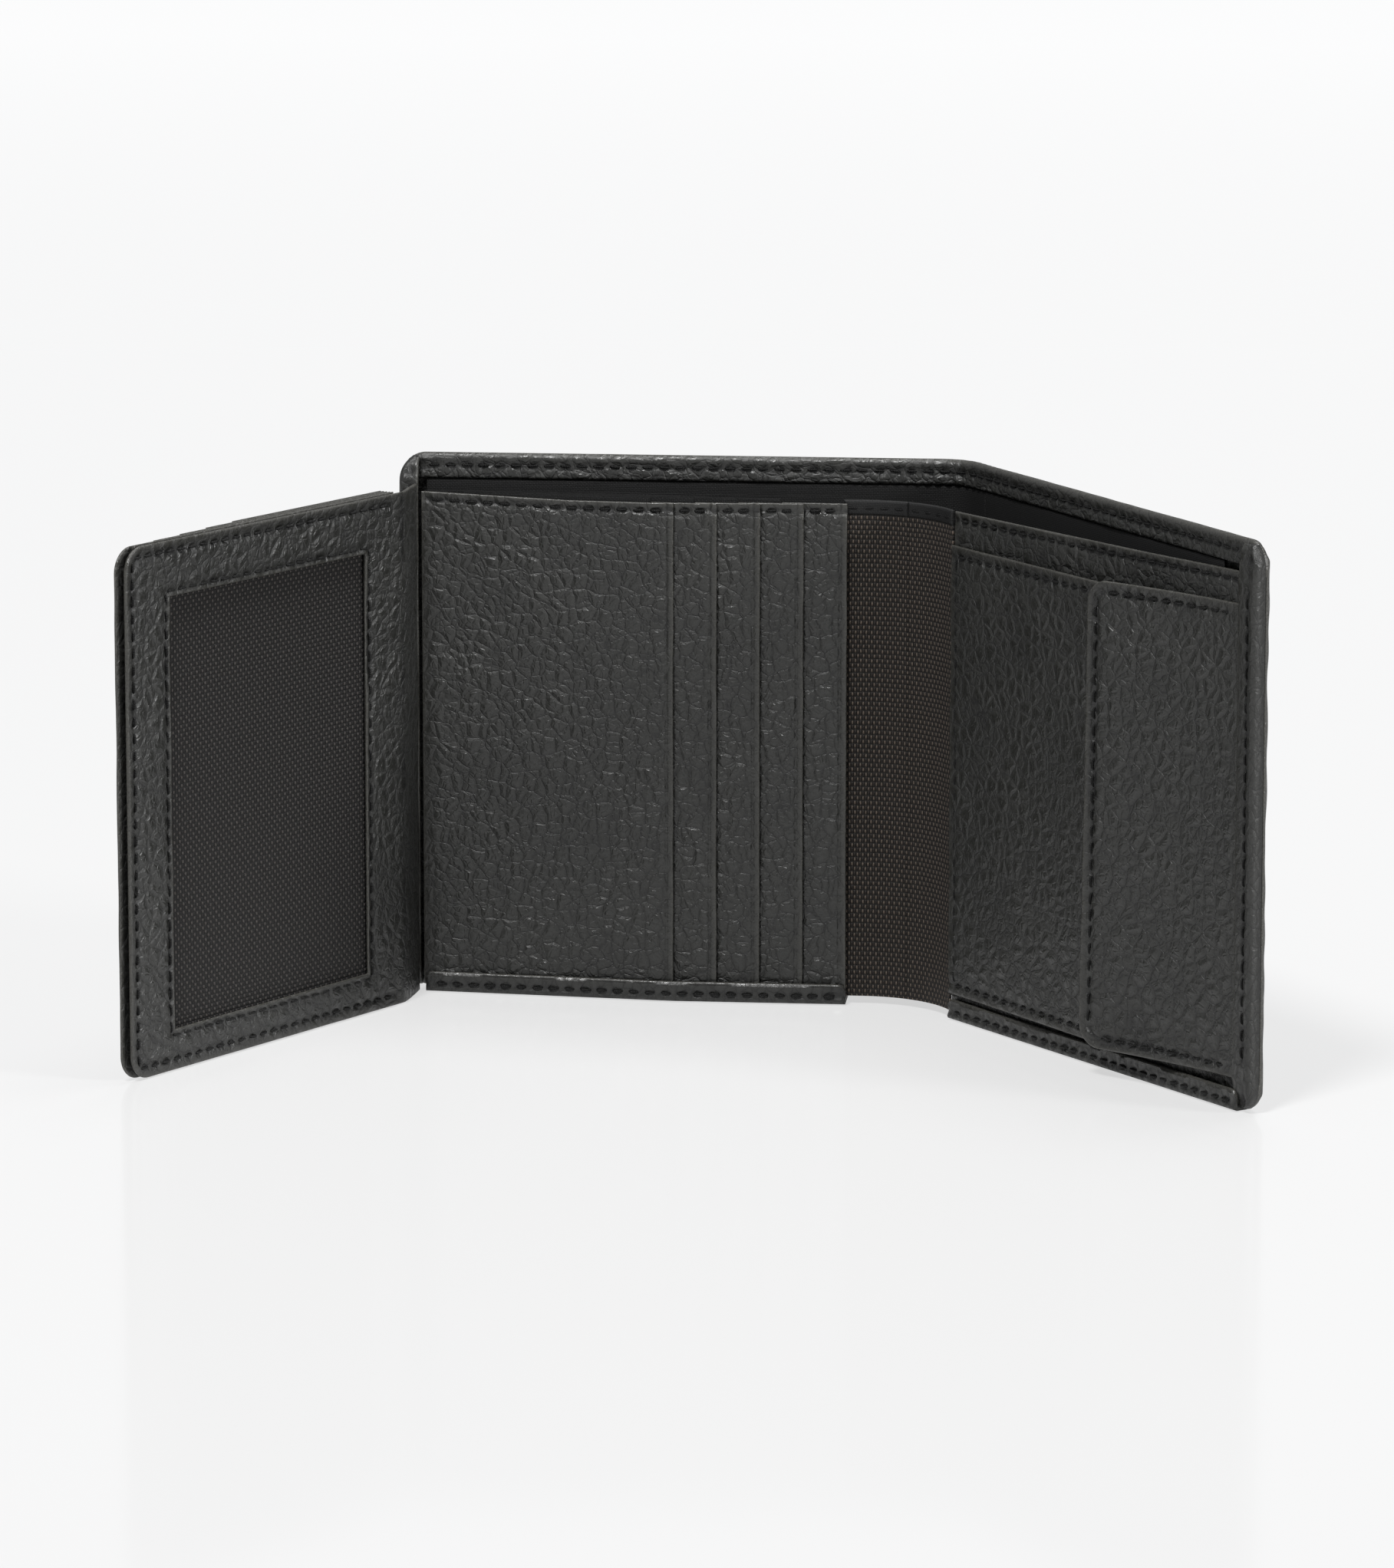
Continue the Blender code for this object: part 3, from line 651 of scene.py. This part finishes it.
leather = leather_finish("pebbled_leather")
fine_leather = leather_finish("pocket_leather", cell=2.4, depth=0.24)
hem_leather = leather_finish("turned_leather", cell=1.9, depth=0.18, stretch=(1.0, 0.7, 1.0))
hides = (fine_leather, hem_leather)
twill = ((0.32, 0.32), (0.012, 0.012, 0.012, 1), (0.009, 0.009, 0.009, 1), 0.05)
lining = weave_finish("lining_twill", *twill)
plain_lining = weave_finish("sleeve_cloth", *twill, on_sheet=False)
fold_cloth = weave_finish("fold_weave", (0.49, 0.87), (0.120, 0.094, 0.074, 1),
                          (0.016, 0.012, 0.010, 1), 0.50)
window_net = weave_finish("window_net", (0.76, 0.75), (0.062, 0.055, 0.051, 1),
                          (0.006, 0.005, 0.005, 1), 0.50)
thread = thread_finish()
nickel = metal_finish()


def ride_on(body, slot, *pieces):
    """Pieces that move rigidly with one body."""
    for piece in pieces:
        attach(piece, body)


def bend_between(pair, place, start, stop, slot, *pieces):
    """Bakes the pieces' places into their meshes; they neither bend across the crease nor move with a
    body.
    """
    ends = [Vector(row_frame(place(np.array(u), np.array(0.0), np.array(0.0))))
            for u in (start, stop)]
    for piece in pieces:
        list(pair)
        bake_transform(piece)


def smooth(value):
    """An easy step from 0 to 1."""
    value = np.clip(value, 0, 1)
    return value * value * (3 - 2 * value)


front_heading = heading(-FOLD_ANGLE)
front_crease = np.array([FOLD_X, INNER_Y]) + front_heading * SPINE_ARM
front_end = front_crease + front_heading * FRONT_LENGTH
cover_place = bent_place([(COVER_LEFT, INNER_Y), (FOLD_X, INNER_Y), tuple(front_end)], [FOLD_RADIUS])
COVER_LENGTH = cover_place.length
CREASE_1 = CARD_CREASE[0] - COVER_LEFT
CREASE_2 = COVER_LENGTH - FRONT_LENGTH
SPLIT = 109.1               # where the two halves of the cover meet
SHELL_EDGE = SHELL_THICK / 2
SEAM_TOP = COVER_HEIGHT - COVER_SEAM


def cover_ring(s, undulation):
    """One closed section of the cover: v, w, rim, calm and share of painted shade of its points."""
    end = min(s, COVER_LENGTH - s)
    inset = float(corner_inset(np.array(end), CORNER))
    low, high = inset, COVER_HEIGHT - inset
    turn = np.linspace(0, math.pi, 9)[1:-1]
    outer = np.linspace(low + SHELL_EDGE, high - SHELL_EDGE, 156)
    thin = HEM_THICK * smooth((s - CREASE_2 - 5) / 20)
    hem_low = min(COVER_HEIGHT - TOP_HEM, high - 1.4)
    hem_high = max(HEM, low + 1.4)
    top_in = np.linspace(high - SHELL_EDGE, hem_low, 9)
    wall = np.linspace(hem_low - 0.1, hem_high + 0.1, 14)
    bottom_in = np.linspace(hem_high, low + SHELL_EDGE, 6)
    v = np.concatenate([outer, high - SHELL_EDGE + SHELL_EDGE * np.sin(turn), top_in, wall, bottom_in,
                        low + SHELL_EDGE - SHELL_EDGE * np.sin(turn)])
    w = np.concatenate([0 * outer + SHELL_THICK, SHELL_EDGE + SHELL_EDGE * np.cos(turn), 0 * top_in,
                        0 * wall + HEM_THICK, 0 * bottom_in + thin,
                        SHELL_EDGE - SHELL_EDGE * np.cos(turn)])
    bumps = 0.13 * undulation(s + 0 * v, v)
    rows = seam_relief(v - SEAM_TOP, s) + seam_relief(v - COVER_SEAM, s)
    rows = rows + seam_relief(end - COVER_SEAM + 0 * v, v)
    wrinkle = 0.20 * math.exp(-((s - 98) / 18) ** 2) * np.sin(2 * math.pi * s / 1.9 + 0.6 * np.sin(v))
    pleat = 0.16 * math.exp(-(end / 6) ** 2) * np.sin(9 * np.arctan2(high - v, end + 0.5))
    out = np.where(w > SHELL_EDGE, bumps + rows, 0.0)
    place_in_hem = np.arange(v.size) - outer.size - turn.size
    hem = (place_in_hem >= 0) & (place_in_hem < top_in.size)
    out = out + np.where(hem, -(0.5 * bumps + rows + wrinkle + pleat), 0.0)
    out = out + np.where((w > SHELL_EDGE) & (v > COVER_HEIGHT - 5), 0.5 * wrinkle, 0.0)
    squeeze = max(0.2, math.sqrt(max(0.0, 1 - (1 - min(end, SHELL_EDGE) / SHELL_EDGE) ** 2)))
    w = SHELL_EDGE + (w + out - SHELL_EDGE) * squeeze
    edge = np.minimum(np.minimum(v - low, high - v), end)
    return v, w, np.exp(-edge / 0.45), np.exp(-edge / 2.5), groove_shade(np.where(hem, -out, out))


def cover_half(name, start, stop, caps):
    """The cover's leather between two distances along it."""
    undulation = waves(3, 5.0, 22.0)
    rings, flats, extras = [], [], []
    count = round((stop - start) / GRID)
    ends = (0.1, 0.3, COVER_LENGTH - 0.3, COVER_LENGTH - 0.1)
    places = sorted({*np.linspace(start, stop, count + 1).tolist(),
                     *[s for s in ends if start < s < stop]})
    for s in places:
        v, w, rim, calm, groove_shade_share = cover_ring(s, undulation)
        rings.append(cover_place(s + 0 * v, v, w))
        flats.append(np.stack([s + 0 * v, v, w], -1))
        extras.append(np.stack([rim, calm, groove_shade_share], -1))
    return sweep(name, rings, flats, leather, caps, extras)


def cover_seams(name, start, stop, edge_run):
    """Rows of thread on the cover: outside all round, and inside along the top."""
    a, b = max(start, 4.5), min(stop, COVER_LENGTH - 4.5)
    outside = [[(a, COVER_SEAM), (b, COVER_SEAM)], [(a, SEAM_TOP), (b, SEAM_TOP)],
               [(edge_run, 4.8), (edge_run, COVER_HEIGHT - 4.8)]]
    return [stitches(name + "_outside", cover_place, outside, 1, SHELL_THICK - THREAD_SUNK),
            stitches(name + "_inside", cover_place, [[(a, SEAM_TOP), (b, SEAM_TOP)]], -1,
                     THREAD_SUNK)]


def cover():
    """Outer leather in two halves that meet on the flat of the spine, with their linings."""
    halves = (("card", 0.0, SPLIT, (True, False), ("card_side", "spine"), CREASE_1, COVER_SEAM,
               ("back_cover", "spine_cover"), ("back_cover_lining", "spine_lining"), CORNER, SPLIT),
              ("coin", SPLIT, COVER_LENGTH, (False, True), ("spine", "coin_side"), CREASE_2,
               COVER_LENGTH - COVER_SEAM, ("front_cover",), ("front_cover_lining",), SPLIT,
               CREASE_2 + 74.0))
    for side, start, stop, caps, pair, crease_at, edge_run, shells, cloths, near, far in halves:
        shell = cover_half(f"cover_{side}_half", start, stop, caps)
        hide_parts(*shells)
        seams = cover_seams(f"cover_{side}_thread", start, stop, edge_run)
        bend_between(pair, cover_place, crease_at - BEND, crease_at + BEND, "leather", shell, *seams)
        box = (near + 0.05, far - 0.05, 4.0, 94.0)
        cloth = slab(f"lining_{side}_half", cover_place, box, (0.3, 0.6), lining, step=1.2)
        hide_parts(*cloths)
        bend_between(pair, cover_place, crease_at - BEND, crease_at + BEND, "lining", cloth)


def lip(name, place, start, stop, front, floor_back, body):
    """Turned bottom edge: an upright lip with the floor that joins it to the cover."""
    arc_turn = np.linspace(0, math.pi, 7)
    rise = np.linspace(0.5, HEM - 0.45, 8)
    relief = waves(len(name), 3.0, 12.0)
    rings, flats, extras = [], [], []
    for u in np.linspace(start, stop, round((stop - start) / GRID) + 1):
        end = min(u - start, stop - u)
        tall = HEM - 0.9 * (1 - math.sqrt(1 - (1 - min(end, 1.2) / 1.2) ** 2))
        face = front(u)
        z = np.concatenate([rise, HEM - 0.45 + 0.45 * np.sin(arc_turn),
                            [1.0, 0.9, 0.9, 0.0, 0.0, 0.12]])
        y = np.concatenate([0 * rise, 0.45 - 0.45 * np.cos(arc_turn),
                            [0.9, 1.0, 0, 0, 0.5, 0.15]])
        z = np.where(z > 1.0, 1.0 + (z - 1.0) * (tall - 1.0) / (HEM - 1.0), z)
        y = face + y
        y[-4:-2] = floor_back(u)
        push = 0.10 * relief(u + 0 * z, z) + seam_relief(z - 1.5, u) + 0.10 * groove(z - 2.8, 0.3)
        y[:rise.size] -= push[:rise.size]
        rings.append(place(u + 0 * z, z, y))
        flats.append(np.stack([u + 0 * z, z, y], -1))
        rim = np.exp(-np.abs(z - tall) / 0.4)
        extras.append(np.stack([rim, 0.6 + 0.4 * rim, groove_shade(push)], -1))
    band = sweep(name, rings, flats, hem_leather, extra=extras)
    marks = [(u, 1.5) for u in np.linspace(start + 1.5, stop - 1.5, 60)]

    def lip_place(u, v, w):
        shift = np.array([front(value) for value in np.ravel(u)]).reshape(np.shape(u))
        return place(u, v, w + shift)
    seam = stitches(name + "_thread", lip_place, [marks], -1, THREAD_SUNK)
    ride_on(body, "leather", band, seam)


def channel(name, place, reach, lip_front, back, body):
    """Turned side edge: a wall at the end of the cover and a lip that lies over the panels.
    reach runs from the outer end to the lip's free end."""
    outer, inner = reach
    sign = 1 if inner > outer else -1
    relief = waves(len(name) + 7, 4.0, 14.0)
    arc_turn = np.linspace(0, math.pi / 2, 5)
    seam_u = outer + sign * COVER_SEAM
    rings, flats, extras = [], [], []
    for z in np.linspace(0.6, COVER_HEIGHT - 0.6, 163):
        near = min(z, COVER_HEIGHT - z)
        over = 1 - math.sqrt(max(0.0, 1 - (1 - min(near, 8.0) / 8.0) ** 2))
        face = lip_front + (back - 0.9 - lip_front) * over
        draw = float(corner_inset(np.array(near), CORNER)) * 0.95
        start = outer + sign * draw
        lip_u = np.linspace(start + sign * 0.8, inner - sign * 0.3, 9)
        u = np.concatenate([[start, start], start + sign * 0.8 * (1 - np.cos(arc_turn[1:-1])), lip_u,
                            [inner, inner - sign * 0.3, start + sign * 0.9, start + sign * 0.9]])
        w = np.concatenate([[back, face + 0.8], face + 0.8 * (1 - np.sin(arc_turn[1:-1])),
                            0 * lip_u + face, [face + 0.3, face + 0.6, face + 0.6, back]])
        push = 0.09 * relief(u, z + 0 * u) + seam_relief(u - seam_u, z)
        push = push + 0.12 * np.sin(2 * math.pi * z / 2.6) * math.exp(-(near / 9) ** 2)
        shown = slice(arc_turn.size, arc_turn.size + lip_u.size)
        w[shown] -= push[shown]
        rings.append(place(u, z + 0 * u, w))
        flats.append(np.stack([u, z + 0 * u, w], -1))
        rim = np.exp(-np.abs(u - inner) / 0.4)
        extras.append(np.stack([rim, 0.5 + 0.5 * rim, groove_shade(push)], -1))
    band = sweep(name, rings, flats, hem_leather, extra=extras)
    seam = stitches(name + "_thread", place, [[(seam_u, 9.0), (seam_u, COVER_HEIGHT - 9.0)]], -1,
                    lip_front + THREAD_SUNK)
    ride_on(body, "leather", band, seam)


def card_dip(x):
    """How far the card panel's top edge sags below its full height."""
    return np.interp(x, (-38, -12, 8, 39), (0, 0.85, 0.85, 0.45))


def card_side():
    """Five shingled pockets, with the turned edges that hold them."""
    plan = flat_place((0.0, 0.0), 0.0)
    for number, edge in enumerate(POCKET_EDGES, 1):
        flat = flat_place((edge, 0.0), POCKET_TURN)
        relief = waves(20 + number, 6.0, 24.0)
        width = FIRST_POCKET_WIDTH if number == 1 else POCKET_STRIP

        def pocket_place(u, v, w, flat=flat, edge=edge):
            return flat(u, v - card_dip(edge + u) * v / PANEL_TOP, w)

        def pocket_front(u, v, inward, relief=relief):
            shape = 0.10 * relief(u, v) + 0.17 * groove(u + CREASE_INSET, 0.28)
            return shape + seam_relief(v - CARD_SEAM, u)

        box = (-width, 0.0, PANEL_BOTTOM, PANEL_TOP)
        face = slab(f"card_face_{number}", pocket_place, box, (0.0, POCKET_THICK), fine_leather,
                    front=pocket_front, fine_u=(-CREASE_INSET,), fine_v=(CARD_SEAM,))
        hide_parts(f"card_pocket_{number}")
        left = -45.0 if number == 1 else -POCKET_PITCH + 0.6
        row = stitches(f"card_thread_{number}", pocket_place,
                       [[(left, CARD_SEAM), (-1.8, CARD_SEAM)]], -1, THREAD_SUNK)
        ride_on("card_side", "leather", face, row)
        if number > 1:
            keep_cloth(f"card_sleeve_{number}")
    keep_cloth("card_carrier")
    left = COVER_LEFT + CORNER
    slope = math.tan(math.radians(-POCKET_TURN))
    lip("card_bottom_lip", plan, left, POCKET_EDGES[-1],
        lambda x: -1.1 + slope * max(0.0, POCKET_EDGES[0] - x), lambda x: INNER_Y + 1.2, "card_side")
    channel("left_turned_edge", plan, (COVER_LEFT, -39.2), 4.7, INNER_Y + 0.9, "card_side")


def keep_cloth(name):
    """Finish of a cloth that the CAD already shows as it is."""
    obj = bpy.data.objects[name]
    obj.data.materials.clear()
    obj.data.materials.append(plain_lining)


def identity_flap():
    """Leather face with its mesh window, the back panel, and the pockets on the back."""
    end = np.array(FLAP_CREASE) + heading(FLAP_ANGLE) * FLAP_LENGTH
    route = bent_place([(-39.3, 4.2), FLAP_CREASE, tuple(end)], [0.8])
    length = route.length
    relief = waves(41, 6.0, 26.0)
    window = (HINGE_STRIP + WINDOW[0], HINGE_STRIP + WINDOW[1], WINDOW[2], WINDOW[3])
    outline = (0.0, length, 0.0, FLAP_HEIGHT)
    seam_box = (HINGE_STRIP + 2.0, length, 0.0, FLAP_HEIGHT)

    def face_relief(u, v, inward):
        to_window = -rounded_distance(u, v, window, (0, 0, 0, 0))
        to_edge = rounded_distance(u, v, outline, (0, CORNER, CORNER, 0))
        shape = 0.11 * relief(u, v) + seam_relief(to_window - 1.1, u + v)
        shape = shape + seam_relief(to_edge - SEAM_INSET, u + v) * (u > HINGE_STRIP + 3)
        return shape + 0.25 * groove(u - HINGE_STRIP, 0.9)

    face = slab("identity_face", route, outline, (-LEATHER, 0.0), leather, (0, CORNER, CORNER, 0),
                back=face_relief, fine_u=(HINGE_STRIP, length - SEAM_INSET),
                fine_v=(SEAM_INSET, FLAP_HEIGHT - SEAM_INSET), hole=window)
    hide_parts("flap_hinge_strip", "flap_window_frame")
    grown = (window[0] - 1.1, window[1] + 1.1, window[2] - 1.1, window[3] + 1.1)
    runs = border(grown, 0.0) + border(seam_box, SEAM_INSET, "btr")
    for run in runs[4:]:
        run[:] = [(min(u, length - SEAM_INSET), v) for u, v in run]
    rows = stitches("identity_thread", route, runs, 1, -THREAD_SUNK)
    bend_between(("card_side", "identity_flap"), route, HINGE_STRIP - 2.5, HINGE_STRIP + 2.5,
                 "leather", face, rows)
    flap = flat_place(FLAP_START, FLAP_ANGLE)
    net_box = (WINDOW[0] - 3.5, WINDOW[1] + 3.5, WINDOW[2] - 3.5, WINDOW[3] + 3.5)
    net = slab("identity_net", flap, net_box, (-1.15, -0.95), window_net, step=1.5)
    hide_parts("flap_mesh_window")
    ride_on("identity_flap", "window_mesh", net)
    back_relief = waves(43, 6.0, 22.0)

    def back_front(u, v, inward):
        return 0.08 * back_relief(u, v) + seam_relief(inward - SEAM_INSET, u + v)

    back = slab("identity_back", flap, (0.8, FLAP_WIDTH, 0.0, FLAP_HEIGHT), (-1.9, -1.5),
                fine_leather, (0, CORNER, CORNER, 0), front=back_front)
    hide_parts("flap_back_panel")
    back_rows = stitches("identity_back_thread", flap,
                         border((68.0, FLAP_WIDTH, 0.0, FLAP_HEIGHT), SEAM_INSET, "btr"), -1, -1.82)
    ride_on("identity_flap", "leather", back, back_rows)
    for number, (edge, near) in enumerate(BACK_POCKETS, 1):
        def pocket_front(u, v, inward, edge=edge, number=number):
            shape = 0.07 * back_relief(u + 9 * number, v)
            shape = shape + 0.14 * groove(u - edge + CREASE_INSET, 0.28)
            return shape + seam_relief(v - 2.4, u) + seam_relief(v - FLAP_HEIGHT + 2.4, u)

        face_n = slab(f"identity_pocket_{number}", flap, (0.8, edge, 0.6, FLAP_HEIGHT - 0.05),
                      (near, near + 0.4), fine_leather, front=pocket_front,
                      fine_u=(edge - CREASE_INSET,))
        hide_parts(f"flap_pocket_{number}")
        left = 2.5 if number == 1 else edge - 7.4
        row = stitches(f"identity_pocket_thread_{number}", flap,
                       [[(left, v), (edge - 1.5, v)] for v in (2.4, FLAP_HEIGHT - 2.4)], -1,
                       near + THREAD_SUNK)
        ride_on("identity_flap", "leather", face_n, row)


def fold_strip():
    """Woven strip across the fold, in two halves that meet between the creases."""
    stop = (58.42, -9.26)
    route = bent_place([(38.3, 1.2), (53.34, 1.2), stop], [18.1])
    middle = 12.0
    halves = (("card", 0.0, middle, ("card_side", "spine"), (2.0, 11.9)),
              ("coin", middle, route.length, ("spine", "coin_side"), (13.0, route.length)))
    for side, start, end, pair, (near, far) in halves:
        box = (start, end, PANEL_BOTTOM, PANEL_TOP - 2.5)
        cloth = slab(f"fold_cloth_{side}", route, box, (0.0, 0.5), fold_cloth, edge=0.12)
        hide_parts("fold_fabric")
        bend_between(pair, route, near, far, "woven_fabric", cloth)
        binding = slab(f"fold_binding_{side}", route, (start, end, PANEL_TOP - 2.6, PANEL_TOP + 0.15),
                       (-0.28, 0.72), lining)
        row = stitches(f"fold_thread_{side}", route, [[(start + 0.3, PANEL_TOP - 1.3),
                                                       (end - 0.3, PANEL_TOP - 1.3)]], -1, -0.20)
        bend_between(pair, route, near, far, "woven_fabric", binding, row)


COIN_IN_FRONT = (-2.96, -9.90)
COIN_TURN = FOLD_ANGLE - COIN_ANGLE
FLAP_LEFT, FLAP_RIGHT = 49.5, 85.4      # the coin flap
FLAP_BOTTOM, FLAP_TOP = 5.2, 87.7
SNAP_U, SNAP_Z = 53.5, 46.0
coin_flat = flat_place(COIN_CORNER, -COIN_ANGLE)


def coin_base_place(u, v, w):
    """The coin panel, drawn back to the cover near its right seam."""
    return coin_flat(u, v + 0.8 * (u / 85) * v / PANEL_TOP, w + 0.9 * smooth((u - 55) / 28))


def coin_front_place(u, v, w):
    """The pocket's front; w is measured from its outer face."""
    return coin_flat(u, v, w - 1.1 - 0.03 * u)


def coin_lift(u, v):
    """How far the flap's outer face stands in front of the coin panel."""
    share = np.clip((85.0 - u) / 35.5, 0, 1)
    return 0.05 + 6.95 * share ** 1.5 + 0.5 * share * (1 - 2 * v / 93)


def coin_flap_place(u, v, w):
    """The coin flap; w is measured from its outer face."""
    return coin_flat(u, v, w - coin_lift(u, v))


def snap_disc(name, place, u, outer, profile):
    """A turned disc; profile holds radius and depth pairs from its middle outward."""
    turn = np.linspace(0, 2 * math.pi, 49)[:-1]
    rings, flats = [], []
    for radius, height in profile:
        uu, vv = u + radius * np.cos(turn), SNAP_Z + radius * np.sin(turn)
        rings.append(place(uu, vv, outer + height + 0 * uu))
        flats.append(np.stack([uu, vv, 0 * uu + height], -1))
    return sweep(name, rings, flats, nickel)


def coin_side():
    """Coin panel, pocket front, gussets, flap and press stud, with the turned edges round them."""
    relief = waves(61, 6.0, 24.0)

    def base_front(u, v, inward):
        return 0.08 * relief(u, v) + seam_relief(v - COIN_SEAM, u)

    base = slab("coin_base", coin_base_place, (0.0, 85.6, PANEL_BOTTOM, PANEL_TOP), (0.0, 0.65),
                leather, front=base_front, fine_v=(COIN_SEAM,))
    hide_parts("coin_base_panel")
    base_row = stitches("coin_base_thread", coin_base_place,
                        [[(1.5, COIN_SEAM), (84.0, COIN_SEAM)]], -1, THREAD_SUNK)

    mouth, low, high = 58.0, 4.7, 86.4
    front_box = (0.4, mouth, low, high)

    def front_relief(u, v, inward):
        shape = 0.10 * relief(u + 40, v) + seam_relief(v - high + SEAM_INSET, u)
        shape = shape + seam_relief(v - low - SEAM_INSET, u)
        return shape + 0.15 * groove(u - mouth + CREASE_INSET, 0.28)

    front = slab("coin_front", coin_front_place, front_box, (0.0, LEATHER), leather,
                 front=front_relief, fine_v=(high - SEAM_INSET, low + SEAM_INSET))
    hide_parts("coin_pocket_front")
    front_rows = stitches("coin_front_thread", coin_front_place, border(front_box, SEAM_INSET, "btl"),
                          -1, THREAD_SUNK)
    ride_on("coin_side", "leather", base, base_row, front, front_rows)

    for place_name, height in (("bottom", 5.6), ("top", 85.2)):
        def gusset_place(u, v, w, height=height):
            return coin_flat(u, height + w, -(0.08 + v * (0.24 + 0.03 * u)))
        gusset = slab(f"coin_fold_{place_name}", gusset_place, (8.0, 54.5, 0.0, 1.0), (0.0, 0.35),
                      lining, edge=0.05, step=0.9)
        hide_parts(f"coin_gusset_{place_name}")
        ride_on("coin_side", "lining", gusset)

    flap_box = (FLAP_LEFT, FLAP_RIGHT, FLAP_BOTTOM, FLAP_TOP)
    flap_radii = (4.0, 0, 0, 4.0)

    def flap_front(u, v, inward):
        to_edge = rounded_distance(u, v, flap_box, flap_radii)
        rows = seam_relief(to_edge - SEAM_INSET, u + v) * (u < FLAP_RIGHT - 4)
        waved = 0.12 * relief(u, v + 60) * smooth((FLAP_RIGHT - u) / 6)
        return waved + rows + 0.15 * groove(to_edge - 1.0, 0.3) * (u < 60)

    flap = slab("coin_flap_face", coin_flap_place, flap_box, (0.0, LEATHER), leather, flap_radii,
                front=flap_front, fine_u=(FLAP_LEFT + 1.0, FLAP_LEFT + SEAM_INSET),
                fine_v=(FLAP_BOTTOM + SEAM_INSET, FLAP_TOP - SEAM_INSET))
    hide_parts("coin_flap")
    inset = SEAM_INSET + 2.2
    left, low, high = FLAP_LEFT + SEAM_INSET, FLAP_BOTTOM + SEAM_INSET, FLAP_TOP - SEAM_INSET
    runs = [[(82.5, low), (FLAP_LEFT + inset, low)],
            [(left, FLAP_BOTTOM + inset), (left, FLAP_TOP - inset)],
            [(FLAP_LEFT + inset, high), (82.5, high)]]
    flap_rows = stitches("coin_flap_thread", coin_flap_place, runs, -1, THREAD_SUNK)
    pair = ("coin_side", "coin_flap_side")
    bend_between(pair, coin_flat, 84.6, 79.0, "leather", flap, flap_rows)
    lining_box = (51.3, 79.5, 7.0, 85.9)
    flap_lining = slab("coin_flap_cloth", coin_flap_place, lining_box, (0.76, 1.0), lining,
                       (3.0, 0, 0, 3.0), step=1.0)
    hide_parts("coin_flap_lining")
    bend_between(pair, coin_flat, 84.6, 79.0, "lining", flap_lining)

    socket = snap_disc("press_socket", coin_flap_place, SNAP_U, 1.02,
                       [(0.05, 0.05), (1.2, 0.05), (1.5, 0.45), (2.3, 0.5), (2.6, 0.3), (2.6, 0.0),
                        (0.05, 0.0)])
    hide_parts("snap_socket")
    ride_on("coin_flap_side", "snap_metal", socket)
    stud = snap_disc("press_stud", coin_front_place, SNAP_U, -0.05,
                     [(0.05, -0.95), (0.8, -0.9), (1.05, -0.6), (1.0, -0.3), (1.8, -0.25),
                      (2.0, 0.0), (0.05, 0.0)])
    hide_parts("snap_stud")
    washer = snap_disc("press_washer", coin_front_place, SNAP_U, LEATHER + 0.05,
                       [(0.05, 0.0), (2.4, 0.0), (2.6, 0.12), (2.5, 0.28), (0.05, 0.3)])
    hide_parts("snap_washer")
    ride_on("coin_side", "snap_metal", stud, washer)

    turn = math.radians(COIN_TURN)
    lip("coin_bottom_lip", coin_flat, 0.4, 86.6, lambda u: -1.1,
        lambda u: (1.0 - COIN_IN_FRONT[1] - u * math.sin(turn)) / math.cos(turn), "coin_side")
    front_flat = flat_place(tuple(front_crease), -FOLD_ANGLE)
    channel("right_turned_edge", front_flat, (FRONT_LENGTH, 81.6), -1.5, 0.9, "coin_side")


cover()
card_side()
identity_flap()
fold_strip()
coin_side()
stage()
